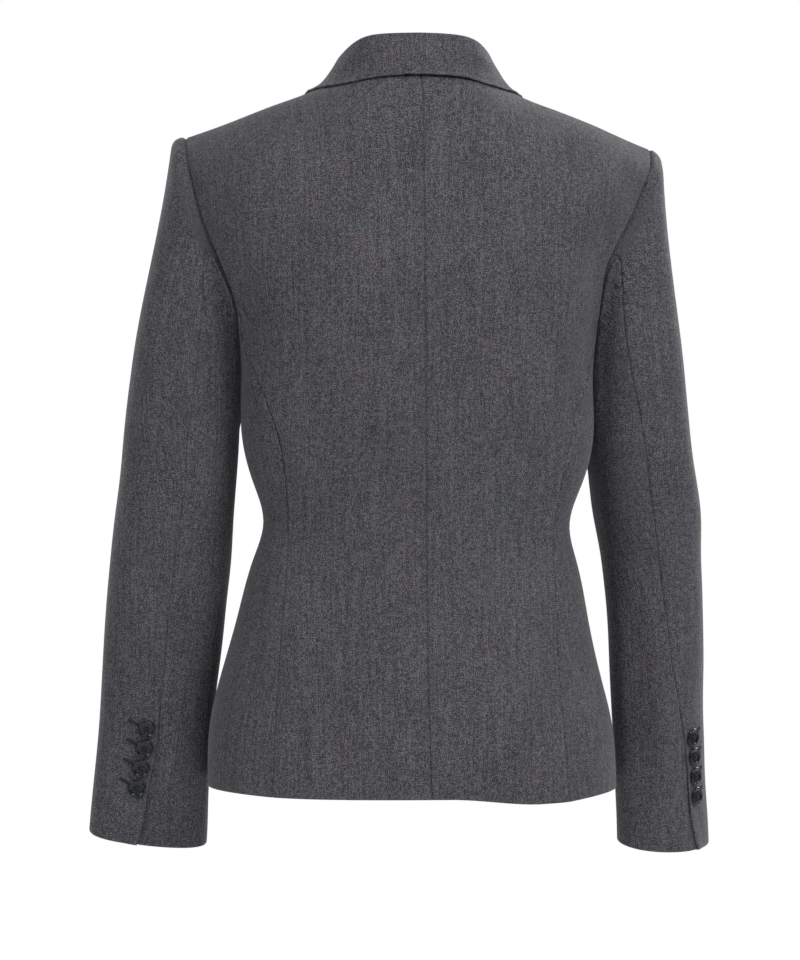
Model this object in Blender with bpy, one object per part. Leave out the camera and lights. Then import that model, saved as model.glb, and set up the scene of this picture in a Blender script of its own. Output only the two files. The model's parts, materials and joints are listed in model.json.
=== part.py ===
"""A fitted single breasted blazer, filled out as if worn, with nobody inside it.

Metres, +Z up. The front faces -Y, the wearer's left is +X. The origin is midway between the two
neck ends of the shoulder seams. Every cloth piece is one wall: a grid of points for its outer
face, and the same grid moved in by the cloth's thickness. Neighbours share the points of their
seam, and each is trimmed back from it by half the seam gap.
"""

import math

import bmesh
import bpy
import numpy as np
from mathutils import Vector
from mathutils.bvhtree import BVHTree

# ---------------------------------------------------------------- driving dimensions
CLOTH = 0.0016  # thickness of the wall: outer cloth and its fusing
SEAM_GAP = 0.0003  # between two pieces at a seam
LAYER_GAP = 0.0009  # between a piece and the one that it lies on
LEAST_CLEAR = 0.0005  # least gap there, at the corners of the facets
LAY_REACH = 0.025  # furthest that a point is moved along y to lie on another piece
CLEARING_ROUNDS = 8
CLEARING_STEP = 0.0010  # furthest that a point is raised in a round
ARM_CLEAR = 0.0008  # between a sleeve and the body of the coat

NECK_HALF = 0.078  # from the middle to the neck end of the shoulder seam
NECK_BACK_RISE = 0.008  # the back neck seam's middle, above the shoulder seam's neck end
HEM_BACK = -0.6005  # height of the hem at the middle of the back
HEM_SIDE_RISE = 0.0045  # how much higher the hem is at the sides
SIDE_HEM_BOW = {"left": 0.0020, "right": 0.0050}  # and again in the middle of a side panel
SLOPE_BACK = 0.085  # height over which the shoulder rounds into the back
SLOPE_FRONT = 0.120  # and into the front
FRONT_LAP = 0.018  # the front edge, past the middle
BREAK_HEIGHT = -0.335  # where the lapel starts to turn, just above the top button
CORNER_WIDE = 0.055  # the rounded lower corner of the front
CORNER_HIGH = 0.070
LAPEL_RISE = 0.0008  # how much further off the front a lapel lies at its top
FOLD_CLEAR = 0.0006  # between a front's edge and the middle of the lapel's bend round it
FOLD_BOW = 0.004  # how far the lapel's fold bows from straight
ROLL_WRAP = 0.007  # how far a lapel reaches round its fold to the inside
GORGE_HEIGHT = -0.048  # where collar and lapel meet on the fold
NOTCH_SHARE = 0.60  # how far out along the collar's end they are sewn together
LAPEL_TIP = (0.1310, -0.1080)  # x, z

SIDES = {"left": 1, "right": -1}

# The body's level sections. A section is widest at y_widest, and each half is a superellipse.
BODY = {
    # z: (half_width, y_widest, y_back, y_front, back_power, front_power)
    -0.640: (0.1761, -0.006, 0.1146, -0.1236, 2.30, 2.30),
    -0.600: (0.1749, -0.006, 0.1141, -0.1226, 2.30, 2.30),
    -0.542: (0.1716, -0.005, 0.1126, -0.1206, 2.28, 2.25),
    -0.508: (0.1636, -0.004, 0.1096, -0.1186, 2.26, 2.20),
    -0.456: (0.1504, 0.000, 0.1006, -0.1136, 2.24, 2.15),
    -0.405: (0.1382, 0.002, 0.0901, -0.1096, 2.22, 2.10),
    -0.375: (0.1308, 0.003, 0.0866, -0.1096, 2.20, 2.10),
    -0.337: (0.1416, 0.006, 0.0896, -0.1156, 2.25, 2.10),
    -0.303: (0.1511, 0.010, 0.0951, -0.1226, 2.32, 2.10),
    -0.267: (0.1541, 0.012, 0.1011, -0.1296, 2.40, 2.10),
    -0.235: (0.1553, 0.012, 0.1051, -0.1326, 2.50, 2.15),
    -0.206: (0.1576, 0.012, 0.1076, -0.1306, 2.60, 2.25),
    -0.175: (0.1666, 0.010, 0.1091, -0.1256, 2.70, 2.40),
    -0.145: (0.1826, 0.006, 0.1091, -0.1176, 2.80, 2.50),
    -0.110: (0.1966, 0.002, 0.1066, -0.1076, 2.80, 2.50),
    -0.060: (0.2096, 0.000, 0.1016, -0.0956, 2.80, 2.50),
    0.060: (0.2166, 0.000, 0.0916, -0.0816, 2.80, 2.50),
}

# The top of the shoulders, from the middle of the neck outwards.
RIDGE = {
    # x: (y, z)
    0.000: (0.000, 0.0330),
    0.040: (0.000, 0.0230),
    0.078: (0.000, 0.0000),
    0.120: (-0.001, -0.0170),
    0.160: (-0.002, -0.0325),
    0.198: (-0.003, -0.0455),
    0.230: (-0.003, -0.0550),
}

# The seam between back and side panel, from the hem up to the armhole.
BACK_SIDE_SEAM = {
    # z: x
    -0.640: 0.1270,
    -0.600: 0.1245,
    -0.540: 0.1205,
    -0.477: 0.1165,
    -0.427: 0.1140,
    -0.375: 0.1125,
    -0.344: 0.1160,
    -0.311: 0.1210,
    -0.256: 0.1375,
    -0.230: 0.1460,
    -0.195: 0.1530,
}
# The seam between side panel and front, as a share of the section's half width.
FRONT_SIDE_SHARE = {-0.640: 0.830, -0.600: 0.840, -0.375: 0.880, -0.200: 0.960}

# The armholes, from the shoulder tip down the back, under the arm and up the front.
ARMHOLE = {
    "left": {
        # place: (x, y, z)
        "tip": (0.1966, -0.003, -0.0455),
        "back_1": (0.1960, 0.030, -0.0670),
        "back_2": (0.1906, 0.043, -0.0926),
        "back_3": (0.1852, 0.049, -0.1140),
        "back_4": (0.1768, 0.052, -0.1370),
        "back_5": (0.1690, 0.050, -0.1560),
        "back_6": (0.1600, 0.043, -0.1780),
        "back_seam": (0.1545, 0.033, -0.1980),
        "under_1": (0.1520, 0.014, -0.2140),
        "under_2": (0.1510, -0.010, -0.2190),
        "front_seam": (0.1500, -0.038, -0.2080),
        "front_1": (0.1530, -0.054, -0.1850),
        "front_2": (0.1585, -0.060, -0.1580),
        "front_3": (0.1660, -0.058, -0.1270),
        "front_4": (0.1760, -0.048, -0.0960),
        "front_5": (0.1880, -0.031, -0.0680),
    },
    "right": {
        "tip": (0.2022, -0.003, -0.0525),
        "back_1": (0.1968, 0.029, -0.0755),
        "back_2": (0.1865, 0.041, -0.0980),
        "back_3": (0.1770, 0.047, -0.1185),
        "back_4": (0.1655, 0.051, -0.1390),
        "back_5": (0.1585, 0.050, -0.1570),
        "back_6": (0.1550, 0.044, -0.1800),
        "back_seam": (0.1525, 0.033, -0.2050),
        "under_1": (0.1510, 0.014, -0.2210),
        "under_2": (0.1505, -0.010, -0.2260),
        "front_seam": (0.1500, -0.038, -0.2150),
        "front_1": (0.1530, -0.054, -0.1920),
        "front_2": (0.1585, -0.060, -0.1650),
        "front_3": (0.1660, -0.058, -0.1340),
        "front_4": (0.1770, -0.048, -0.1030),
        "front_5": (0.1905, -0.031, -0.0745),
    },
}

# The sleeves' sections from the upper arm to the hem. Each is an ellipse, level across the arm,
# turned about the sleeve's axis, and tipped so that its back is lower by the sleeve's pitch.
SLEEVE = {
    "left": {
        # z: (x, y, half_wide, half_deep, turn, pitch, back_seam_angle), angles in degrees
        -0.240: (0.1950, -0.014, 0.0464, 0.0560, 8, 3, 108),
        -0.268: (0.1976, -0.018, 0.0478, 0.0540, 6, 4, 104),
        -0.303: (0.1999, -0.022, 0.0495, 0.0510, 3, 5, 98),
        -0.337: (0.2026, -0.025, 0.0500, 0.0480, 0, 6, 96),
        -0.371: (0.2060, -0.030, 0.0510, 0.0450, 0, 7, 94),
        -0.406: (0.2088, -0.035, 0.0519, 0.0420, 0, 8, 92),
        -0.441: (0.2122, -0.040, 0.0516, 0.0395, 0, 9, 92),
        -0.476: (0.2151, -0.046, 0.0510, 0.0370, 0, 10, 92),
        -0.528: (0.2196, -0.054, 0.0492, 0.0340, 0, 11, 91),
        -0.564: (0.2220, -0.060, 0.0492, 0.0325, 0, 12, 90),
        -0.599: (0.2250, -0.064, 0.0496, 0.0315, 0, 12, 86),
        -0.634: (0.2272, -0.068, 0.0508, 0.0310, 0, 12, 82),
        -0.646: (0.2280, -0.070, 0.0510, 0.0310, 0, 12, 79),
    },
    "right": {
        -0.247: (0.1877, -0.014, 0.0428, 0.0560, 8, 3, 110),
        -0.285: (0.1917, -0.019, 0.0442, 0.0530, 6, 4, 100),
        -0.320: (0.1965, -0.024, 0.0450, 0.0500, 4, 5, 96),
        -0.354: (0.2016, -0.028, 0.0456, 0.0460, 10, 6, 101),
        -0.389: (0.2060, -0.033, 0.0450, 0.0420, 20, 7, 107),
        -0.424: (0.2099, -0.038, 0.0453, 0.0383, 28, 8, 111),
        -0.458: (0.2128, -0.043, 0.0464, 0.0361, 35, 9, 111),
        -0.493: (0.2148, -0.049, 0.0480, 0.0352, 40, 10, 110),
        -0.528: (0.2161, -0.054, 0.0490, 0.0343, 44, 11, 103),
        -0.564: (0.2185, -0.060, 0.0501, 0.0336, 46, 12, 98),
        -0.599: (0.2204, -0.064, 0.0512, 0.0330, 47, 12, 96),
        -0.634: (0.2230, -0.068, 0.0532, 0.0328, 48, 12, 93),
        -0.654: (0.2240, -0.070, 0.0537, 0.0328, 48, 12, 86),
    },
}
# Where the armhole's points go round a sleeve: tip, back seam, body seams, inner seam, tip.
BACK_SEAM_STEP = 6
INNER_SEAM_STEP = 15
CUFF_LEAN = {"left": 6, "right": 2}  # degrees, how much higher the hem's outer side is
CROWN_FALL = {"left": 0.3, "right": 1.2}  # how steeply the sleeve head falls away
CROWN_RISE = {"left": 0.08, "right": -0.40}  # and how it leaves the shoulder at its tip
CROWN_RADIUS = {0: 0.0105, 4: 0.0090, 9: 0.0040, 13: 0.0030, 19: 0.0060, 24: 0.0105}

# The collar from the middle of the back to the gorge: seam on the neck, fold, and outer edge.
COLLAR = {
    # way round: (seam_x, seam_y, seam_z, fold_x, fold_y, fold_z, edge_x, edge_y, edge_z)
    0.00: (0.000, 0.0640, 0.0080, 0.0000, 0.0600, 0.0370, 0.0000, 0.0815, 0.0010),
    0.15: (0.030, 0.0585, 0.0068, 0.0285, 0.0555, 0.0366, 0.0350, 0.0740, -0.0006),
    0.30: (0.056, 0.0440, 0.0042, 0.0465, 0.0410, 0.0336, 0.0650, 0.0570, -0.0032),
    0.43: (0.0705, 0.0205, 0.0020, 0.0562, 0.0210, 0.0262, 0.0850, 0.0300, -0.0054),
    0.55: (0.0742, -0.0030, 0.0010, 0.0605, -0.0030, 0.0162, 0.0940, -0.0040, -0.0078),
    0.70: (0.0700, -0.0320, -0.0120, 0.0628, -0.0355, -0.0002, 0.1010, -0.0430, -0.0200),
    0.85: (0.0662, -0.0535, -0.0300, 0.0625, -0.0595, -0.0195, 0.1110, -0.0680, -0.0440),
    1.00: (0.0630, -0.0655, -0.0486, 0.0580, -0.0765, -0.0430, 0.1220, -0.0835, -0.0760),
}
COLLAR_HOLLOW = 0.0028  # how far the fall dips in between fold and edge, over the shoulders
COLLAR_SET = 0.0003  # how far the collar sits to the left
COLLAR_LIFT = 0.0010  # least distance of the collar's fall off the shoulders
COLLAR_FALL_STEPS = 5
COLLAR_BEND = 0.0033  # radius of the collar's fold

# Soft folds in the cloth: a trough (minus) or a ridge (plus) along a line on a piece.
FOLDS = {
    # name: (piece, start_x, start_z, end_x, end_z, half_width, height)
    "left_blade": ("back_left", 0.160, -0.110, 0.150, -0.215, 0.012, -0.0022),
    "left_shoulder": ("back_left", 0.105, -0.130, 0.098, -0.220, 0.022, -0.0014),
    "right_blade": ("back_right", 0.152, -0.095, 0.146, -0.200, 0.011, -0.0024),
    "right_shoulder": ("back_right", 0.100, -0.120, 0.092, -0.190, 0.022, -0.0010),
}

CUFF_BUTTONS = 4
CUFF_BUTTON_RADIUS = 0.0079
CUFF_BUTTON_PITCH = 0.0177
CUFF_BUTTON_LOWEST = 0.0501  # above the sleeve's hem
CUFF_BUTTON_IN = 0.0097  # from the vent's edge to the button's middle
FRONT_BUTTON_RADIUS = 0.0100
FRONT_BUTTONS = {1: -0.352, 2: -0.440}  # heights
BUTTON_THICK = 0.0026
BUTTON_STANDS_OFF = 0.0008

# Grid sizes: rows up a piece or down a sleeve, columns across it.
BACK_COLUMNS = (5, 7)  # along the neck, along the shoulder
FRONT_COLUMNS = 11
LOWER_ROWS = 14  # from the hem to the armhole
ARMHOLE_STEPS = (9, 4, 11)  # back, under the arm, front
CROWN_ROWS = 7
SLEEVE_ROWS = 14
LAPEL_GRID = (18, 6)
COLLAR_HALF_STEPS = 14

CLOTH_COLOUR = (0.076, 0.075, 0.085, 1.0)
BUTTON_COLOUR = (0.018, 0.019, 0.023, 1.0)


# ---------------------------------------------------------------- curves
def spline(table):
    """The smooth curve (a natural cubic) through a table's rows, as a function."""
    knots = np.array(sorted(table), float)
    values = np.array([np.atleast_1d(table[k]) for k in sorted(table)], float)
    gaps = np.diff(knots)
    system = np.eye(len(knots))
    right = np.zeros_like(values)
    for i in range(1, len(knots) - 1):
        system[i, i - 1 : i + 2] = gaps[i - 1], 2 * (gaps[i - 1] + gaps[i]), gaps[i]
        slopes = (values[i + 1] - values[i]) / gaps[i], (values[i] - values[i - 1]) / gaps[i - 1]
        right[i] = 6 * (slopes[0] - slopes[1])
    bends = np.linalg.solve(system, right)

    def at(x):
        x = np.asarray(x, float)
        i = np.clip(np.searchsorted(knots, x) - 1, 0, len(gaps) - 1)
        gap = gaps[i][..., None]
        after = (x[..., None] - knots[i][..., None]) / gap
        before = 1 - after
        curve = before * values[i] + after * values[i + 1]
        bow = (before**3 - before) * bends[i] + (after**3 - after) * bends[i + 1]
        return curve + bow * gap**2 / 6

    return at


def curve_through(points):
    """A smooth curve through points, by its length from 0 to 1."""
    points = np.array(points, float)
    along = np.concatenate([[0], np.cumsum(np.linalg.norm(np.diff(points, axis=0), axis=1))])
    return spline(dict(zip(along / along[-1], map(tuple, points)))), along / along[-1]


def ease(x, start, end):
    """0 before start, 1 after end, and smooth between them."""
    t = np.clip((np.asarray(x, float) - start) / (end - start), 0, 1)
    return t * t * (3 - 2 * t)


def unit(v):
    return v / np.maximum(np.linalg.norm(v, axis=-1, keepdims=True), 1e-12)


# ---------------------------------------------------------------- the body's form
BODY_AT = spline(BODY)
RIDGE_AT = spline(RIDGE)
BACK_SIDE_AT = spline(BACK_SIDE_SEAM)
FRONT_SIDE_AT = spline(FRONT_SIDE_SHARE)
# How the filled coat hangs off true: the hip sways to the left, the middle seam wanders, and the
# right shoulder is lower.
SWAY_AT = spline({-0.64: 0.0030, -0.60: 0.0030, -0.54: 0.0040, -0.50: 0.0042, -0.44: 0.0024,
                  -0.39: 0.0006, -0.36: -0.0008, -0.30: -0.0015, -0.20: -0.0008, 0.06: 0.0})
WANDER_AT = spline({-0.64: -0.0066, -0.60: -0.0064, -0.51: -0.0055, -0.42: -0.0030, -0.34: 0.0,
                    -0.2: 0.0020, 0.06: 0.0018})
DROOP_AT = spline({
    # z: (droop of the whole side, further droop of its outer edge)
    -0.64: (0.0055, 0.0), -0.60: (0.0055, 0.0), -0.375: (0.0040, 0.0), -0.20: (0.0040, 0.0030),
    -0.05: (0.0035, 0.0035), 0.06: (0.0035, 0.0035)})


def form(x, z, face):
    """The coat's outer face at x, z, on its back (face 1) or its front (face -1)."""
    x, z = np.abs(np.asarray(x, float)), np.asarray(z, float)
    width, middle, back, front, back_power, front_power = np.moveaxis(BODY_AT(z), -1, 0)
    depth = np.where(face > 0, back, front) - middle
    power = np.where(face > 0, back_power, front_power)
    round_off = np.clip(1 - np.clip(x / width, 0, 1) ** power, 0, 1) ** (1 / power)
    ridge_y, ridge_z = np.moveaxis(RIDGE_AT(x), -1, 0)
    slope = SLOPE_BACK if face > 0 else SLOPE_FRONT
    down = np.clip((ridge_z - z) / slope, 0, 1)
    share = np.sqrt(1 - (1 - down) ** 2)
    return ridge_y + (middle + depth * round_off - ridge_y) * share


def section_point(angle, z):
    """A point of a level section below the arms: 0 is the back's middle, 90 the side, 180 front."""
    width, middle, back, front, back_power, front_power = np.moveaxis(BODY_AT(z), -1, 0)
    turn = np.radians(angle)
    behind = turn <= math.pi / 2
    power = np.where(behind, back_power, front_power)
    depth = np.where(behind, back - middle, middle - front)
    x = width * np.abs(np.sin(turn)) ** (2 / power)
    y = middle + depth * np.sign(np.cos(turn)) * np.abs(np.cos(turn)) ** (2 / power)
    return np.stack([x, y, z + 0 * x], -1)


def angle_of(x, y, z):
    """The angle round its section of a point of the coat's side."""
    width, middle, back, front, back_power, front_power = np.moveaxis(BODY_AT(z), -1, 0)
    behind = y >= middle
    power = np.where(behind, back_power, front_power)
    depth = np.where(behind, back - middle, middle - front)
    across = np.clip(np.abs(x) / width, 0, 1.2) ** (power / 2)
    along = np.clip(np.abs(y - middle) / depth, 0, 1) ** (power / 2)
    angle = np.degrees(np.arctan2(across, along))
    return np.where(behind, angle, 180 - angle)


def side_x(y, z):
    """Half the coat's width at a depth y."""
    width, middle, back, front, back_power, front_power = np.moveaxis(BODY_AT(z), -1, 0)
    behind = y >= middle
    power = np.where(behind, back_power, front_power)
    depth = np.where(behind, back - middle, middle - front)
    share = np.clip(np.abs(y - middle) / depth, 0, 1)
    return width * (1 - share**power) ** (1 / power)


def settle(points, side):
    """Carries points of the even left half to where they hang on a side."""
    x, y, z = np.moveaxis(np.asarray(points, float), -1, 0)
    near_middle = 1 - ease(np.abs(x), 0, 0.13)
    moved = side * x + SWAY_AT(z)[..., 0] + WANDER_AT(z)[..., 0] * near_middle
    return np.stack([moved, y, z - (droop(x, z) if side < 0 else 0.0)], -1)


def droop(x, z):
    """How much lower the right side hangs, at a point of the even half."""
    whole, edge = np.moveaxis(DROOP_AT(z), -1, 0)
    return whole * ease(x, 0.015, 0.100) + edge * ease(x, 0.150, 0.205)


def hem_height(x, z=-0.6):
    width = BODY_AT(np.asarray(z, float))[..., 0]
    return HEM_BACK + HEM_SIDE_RISE * (np.abs(x) / width) ** 6


# ---------------------------------------------------------------- grids
def coons(bottom, top, left, right, u, v):
    """The grid between four edges. Rows run from bottom to top, columns from left to right."""
    u, v = u[None, :, None], v[:, None, None]
    across = (1 - u) * left[:, None] + u * right[:, None]
    up = (1 - v) * bottom[None] + v * top[None]
    corners = (1 - u) * (1 - v) * bottom[0] + u * (1 - v) * bottom[-1]
    corners = corners + (1 - u) * v * top[0] + u * v * top[-1]
    return across + up - corners


def fit_edges(grid, bottom=None, top=None, left=None, right=None, reach=0.4):
    """Moves a grid onto its edges, and the cloth near them less and less."""
    rows, columns = np.linspace(0, 1, grid.shape[0]), np.linspace(0, 1, grid.shape[1])
    for edge, where in ((left, np.s_[:, 0]), (right, np.s_[:, -1])):
        if edge is not None:
            far = columns if where[1] == 0 else 1 - columns
            fade = 1 - ease(far, 0, reach)
            grid = grid + (edge - grid[where])[:, None] * fade[None, :, None]
    for edge, where in ((bottom, np.s_[0]), (top, np.s_[-1])):
        if edge is not None:
            far = rows if where == 0 else 1 - rows
            fade = 1 - ease(far, 0, reach)
            grid = grid + (edge - grid[where])[None] * fade[:, None, None]
    return grid


def spaced(start, end, steps, power=1.0):
    return start + (end - start) * np.linspace(0, 1, steps + 1) ** power


class Piece:
    """A cloth piece: the grid of its outer face, and the way out at each point.

    With hand 1 its columns run to the right of its rows, seen from outside, and with -1 to the left.
    """

    def __init__(self, name, grid, hand):
        self.name, self.grid, self.hand = name, grid, hand
        self.fold()
        across = np.gradient(grid, axis=1)
        along = np.gradient(grid, axis=0)
        self.out = unit(np.cross(across, along) * hand)
        self.stretch = np.ones(grid.shape[:2])
        self.shift = np.zeros_like(grid)

    def fold(self):
        """Presses the soft folds into the grid, along y."""
        for piece, x0, z0, x1, z1, half_width, height in FOLDS.values():
            if piece != self.name:
                continue
            start, run = np.array([x0, z0]), np.array([x1 - x0, z1 - z0])
            here = np.stack([np.abs(self.grid[..., 0]), self.grid[..., 2]], -1) - start
            share = np.clip(here @ run / (run @ run), 0, 1)
            off = np.linalg.norm(here - share[..., None] * run, axis=-1) / half_width
            press = height * np.exp(-(off**2)) * (0.3 + 0.7 * np.sin(np.pi * share))
            self.grid[1:-1, 1:-1, 1] += press[1:-1, 1:-1]

    def edge(self, which, start=0, stop=None):
        rows, columns = self.grid.shape[:2]
        row, column = np.arange(rows)[start:stop], np.arange(columns)[start:stop]
        return {
            "left": (row, 0 * row),
            "right": (row, 0 * row + columns - 1),
            "bottom": (0 * column, column),
            "top": (0 * column + rows - 1, column),
        }[which]

    def trim(self, which, where):
        """Draws an edge back from its seam."""
        inward = {"left": (0, 1), "right": (0, -1), "bottom": (1, 0), "top": (-1, 0)}[which]
        inside = where[0] + inward[0], where[1] + inward[1]
        way = self.grid[inside] - self.grid[where]
        way -= (way * self.out[where]).sum(-1, keepdims=True) * self.out[where]
        line = np.gradient(self.grid[where], axis=0)
        line = unit(line - (line * self.out[where]).sum(-1, keepdims=True) * self.out[where])
        way -= (way * line).sum(-1, keepdims=True) * line
        self.shift[where] += unit(way) * SEAM_GAP / 2

    def faces(self):
        """The outer and the inner face."""
        outer = self.grid + self.shift
        return outer, outer - self.out * (CLOTH * self.stretch)[..., None]


def join(one, one_edge, other, other_edge):
    """Mitres two pieces along the points that they share, and trims both back."""
    here, there = one.edge(*one_edge), other.edge(*other_edge)
    both = unit(one.out[here] + other.out[there])
    lean = np.clip((both * one.out[here]).sum(-1), 0.6, 1)
    for piece, where, which in ((one, here, one_edge[0]), (other, there, other_edge[0])):
        piece.out[where] = both
        piece.stretch[where] = 1 / lean
        piece.trim(which, where)


def facets(grid):
    """Two triangles for each cell of a grid, split along its shorter diagonal."""
    rows, columns = grid.shape[:2]
    number = np.arange(rows * columns).reshape(rows, columns)
    points = grid.reshape(-1, 3)
    faces = []
    for i in range(rows - 1):
        for j in range(columns - 1):
            a, b, c, d = (int(number[i + p, j + q]) for p, q in ((0, 0), (0, 1), (1, 1), (1, 0)))
            rising = np.linalg.norm(points[a] - points[c]) <= np.linalg.norm(points[b] - points[d])
            faces += [(a, b, c), (a, c, d)] if rising else [(a, b, d), (b, c, d)]
    return number, faces


def solid(name, outer, inner, flip):
    """One closed body from two grids, joined round their rims."""
    number, outside = facets(outer)
    count = number.size
    faces = outside + [tuple(point + count for point in face[::-1]) for face in outside]
    rim = list(number[0]) + list(number[1:, -1]) + list(number[-1, -2::-1]) + list(number[-2:0:-1, 0])
    for a, b in zip(rim, rim[1:] + rim[:1]):
        faces.append((b, a, a + count, b + count))
    if flip:
        faces = [face[::-1] for face in faces]
    mesh = bpy.data.meshes.new(name)
    points = np.concatenate([outer.reshape(-1, 3), inner.reshape(-1, 3)])
    mesh.from_pydata(points.tolist(), [], [tuple(map(int, face)) for face in faces])
    mesh.shade_smooth()
    mesh.set_sharp_from_angle(angle=math.radians(45))
    thing = bpy.data.objects.new(name, mesh)
    bpy.context.scene.collection.objects.link(thing)
    return thing


# ---------------------------------------------------------------- seams that panels share
class Half:
    """The seams of one half of the coat, where they hang."""

    def __init__(self, name):
        self.name, self.side = name, SIDES[name]
        rows = list(ARMHOLE[name].items())
        places = [row[0] for row in rows]
        points = [row[1] for row in rows] + [rows[0][1]]
        loop, knots = curve_through(points)
        at_back, at_front = knots[places.index("back_seam")], knots[places.index("front_seam")]
        back, under, front = ARMHOLE_STEPS
        ways = np.concatenate([
            np.linspace(0, at_back, back + 1),
            np.linspace(at_back, at_front, under + 1)[1:],
            np.linspace(at_front, 1, front + 1)[1:],
        ])
        self.loop = loop(ways) * (self.side, 1, 1)
        self.back_join, self.front_join = self.loop[back], self.loop[back + under]
        self.back_side = self.lower_seam(self.back_join, 1)
        self.front_side = self.lower_seam(self.front_join, -1)

    def even(self, point):
        """A point's x and z on the even left half."""
        return abs(point[0] - SWAY_AT(point[2])[..., 0]), point[2]

    def lower_seam(self, top, face):
        """From the hem up to the armhole, behind (face 1) or before (face -1) the side."""
        z = spaced(HEM_BACK, top[2], LOWER_ROWS)
        x = BACK_SIDE_AT(z)[..., 0] if face > 0 else FRONT_SIDE_AT(z)[..., 0] * BODY_AT(z)[..., 0]
        z = z + (hem_height(x) - HEM_BACK) * (1 - np.linspace(0, 1, LOWER_ROWS + 1))
        line = settle(np.stack([x, form(x, z, face), z], -1), self.side)
        fade = ease(np.linspace(0, 1, LOWER_ROWS + 1), 0.7, 1.0)[:, None]
        return line + (top - line[-1]) * fade

    def neck_seam(self):
        steps = np.linspace(0, math.pi / 2, BACK_COLUMNS[0] + 1)
        x = NECK_HALF * np.sin(steps)
        z = NECK_BACK_RISE * (1 - (x / NECK_HALF) ** 2)
        y = form(x, z, 1)
        y[-1] = RIDGE_AT(np.array(NECK_HALF))[0]
        even = np.stack([x, y, z], -1)
        return even, settle(even, self.side)

    def shoulder_seam(self, steps):
        """From the neck out to the tip: on the even half, and where it hangs."""
        x = spaced(NECK_HALF, abs(self.loop[0][0]), steps)
        even = np.stack([x, *np.moveaxis(RIDGE_AT(x), -1, 0)], -1)
        line = settle(even, self.side)
        share = ease(np.linspace(0, 1, steps + 1), 0.3, 1.0)[:, None]
        return even, line + (self.loop[0] - line[-1]) * share


def back_panel(half):
    back = ARMHOLE_STEPS[0]
    outer = np.concatenate([half.back_side, half.loop[back - 1 :: -1][:back]])
    (even_neck, neck), (even_shoulder, shoulder) = half.neck_seam(), half.shoulder_seam(BACK_COLUMNS[1])
    top = np.concatenate([neck, shoulder[1:]])
    v = np.linspace(0, 1, len(outer))
    low = half.back_join[2]
    rise = (outer[LOWER_ROWS:, 2] - low) / (outer[-1, 2] - low)
    middle_z = np.concatenate([
        spaced(HEM_BACK, low, LOWER_ROWS),
        low + (NECK_BACK_RISE - low) * rise[1:],
    ])
    even_outer = np.stack([half.even(p) for p in outer])
    even_top = np.concatenate([even_neck, even_shoulder[1:]])[:, (0, 2)]
    share = even_top[:, 0] / even_top[-1, 0]
    spread = np.sin(np.linspace(0, 1, len(share)) * math.radians(75)) / math.sin(math.radians(75))
    bottom_x = spread * even_outer[0, 0]
    bottom = np.stack([bottom_x, hem_height(bottom_x)], -1)
    left = np.stack([0 * middle_z, middle_z], -1)
    late = v[:, None, None] ** 2
    share = share[None, :, None] * late + spread[None, :, None] * (1 - late)
    flat = left[:, None] * (1 - share) + even_outer[:, None] * share
    rise_fade = ease(v, 0.62, 1.0)[:, None, None] ** 1.5
    flat += (even_top - flat[-1])[None] * rise_fade
    flat += (bottom - flat[0])[None] * (1 - ease(v, 0, 0.25))[:, None, None]
    grid = np.stack([flat[..., 0], form(flat[..., 0], flat[..., 1], 1), flat[..., 1]], -1)
    grid = settle(grid, half.side)
    grid = fit_edges(grid, right=outer, reach=0.30)
    grid = fit_edges(grid, top=top, reach=0.12)
    grid[:, -1], grid[-1] = outer, top
    return Piece(f"back_{half.name}", grid, -half.side)


def side_panel(half):
    back, under, _ = ARMHOLE_STEPS
    top = half.loop[back : back + under + 1]
    left, right = half.back_side, half.front_side

    def even_angle(points):
        x = half.side * (points[:, 0] - SWAY_AT(points[:, 2])[..., 0])
        return np.stack([angle_of(x, points[:, 1], points[:, 2]), points[:, 2]], -1)

    left_angle, right_angle, top_angle = even_angle(left), even_angle(right), even_angle(top)
    u = np.linspace(0, 1, under + 1)
    v = np.linspace(0, 1, LOWER_ROWS + 1)
    bottom = left_angle[0] + (right_angle[0] - left_angle[0]) * u[:, None]
    flat = coons(bottom, top_angle, left_angle, right_angle, u, v)
    bow = SIDE_HEM_BOW[half.name] * 4 * u * (1 - u)
    flat[..., 1] += bow * (1 - ease(v, 0, 0.30))[:, None]
    grid = section_point(flat[..., 0], flat[..., 1])
    grid = settle(grid, 1) if half.side > 0 else settle_right(grid)
    grid = fit_edges(grid, left=left, right=right, reach=0.6)
    grid = fit_edges(grid, top=top, reach=0.35)
    grid[:, 0], grid[:, -1], grid[-1] = left, right, top
    return Piece(f"side_{half.name}", grid, -half.side)


def settle_right(grid):
    """The right half's settling, for points whose height already has its droop in it."""
    x, y, z = np.moveaxis(grid, -1, 0)
    return np.stack([-x + SWAY_AT(z)[..., 0], y, z], -1)


def front_edge_line(rows_below, rows_above):
    """x and z of a front's inner edge: the rounded corner, the straight edge, the lapel's fold."""
    low = HEM_BACK
    corner = 6
    turn = np.linspace(0, math.pi / 2, corner + 1)
    arc_x = CORNER_WIDE - FRONT_LAP - CORNER_WIDE * np.sin(turn)
    arc_z = low + CORNER_HIGH * (1 - np.cos(turn))
    straight = spaced(arc_z[-1], BREAK_HEIGHT, rows_below - corner)[1:]
    x = np.concatenate([arc_x, np.full(len(straight), -FRONT_LAP)])
    z = np.concatenate([arc_z, straight])
    fine = spaced(BREAK_HEIGHT, 0, 200)
    path = np.stack([fold_x(fine), form(fold_x(fine), fine, -1), fine], -1)
    length = np.concatenate([[0], np.cumsum(np.linalg.norm(np.diff(path, axis=0), axis=1))])
    above = np.interp(spaced(0, length[-1], rows_above)[1:], length, fine)
    return np.concatenate([x, fold_x(above)]), np.concatenate([z, above])


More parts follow.
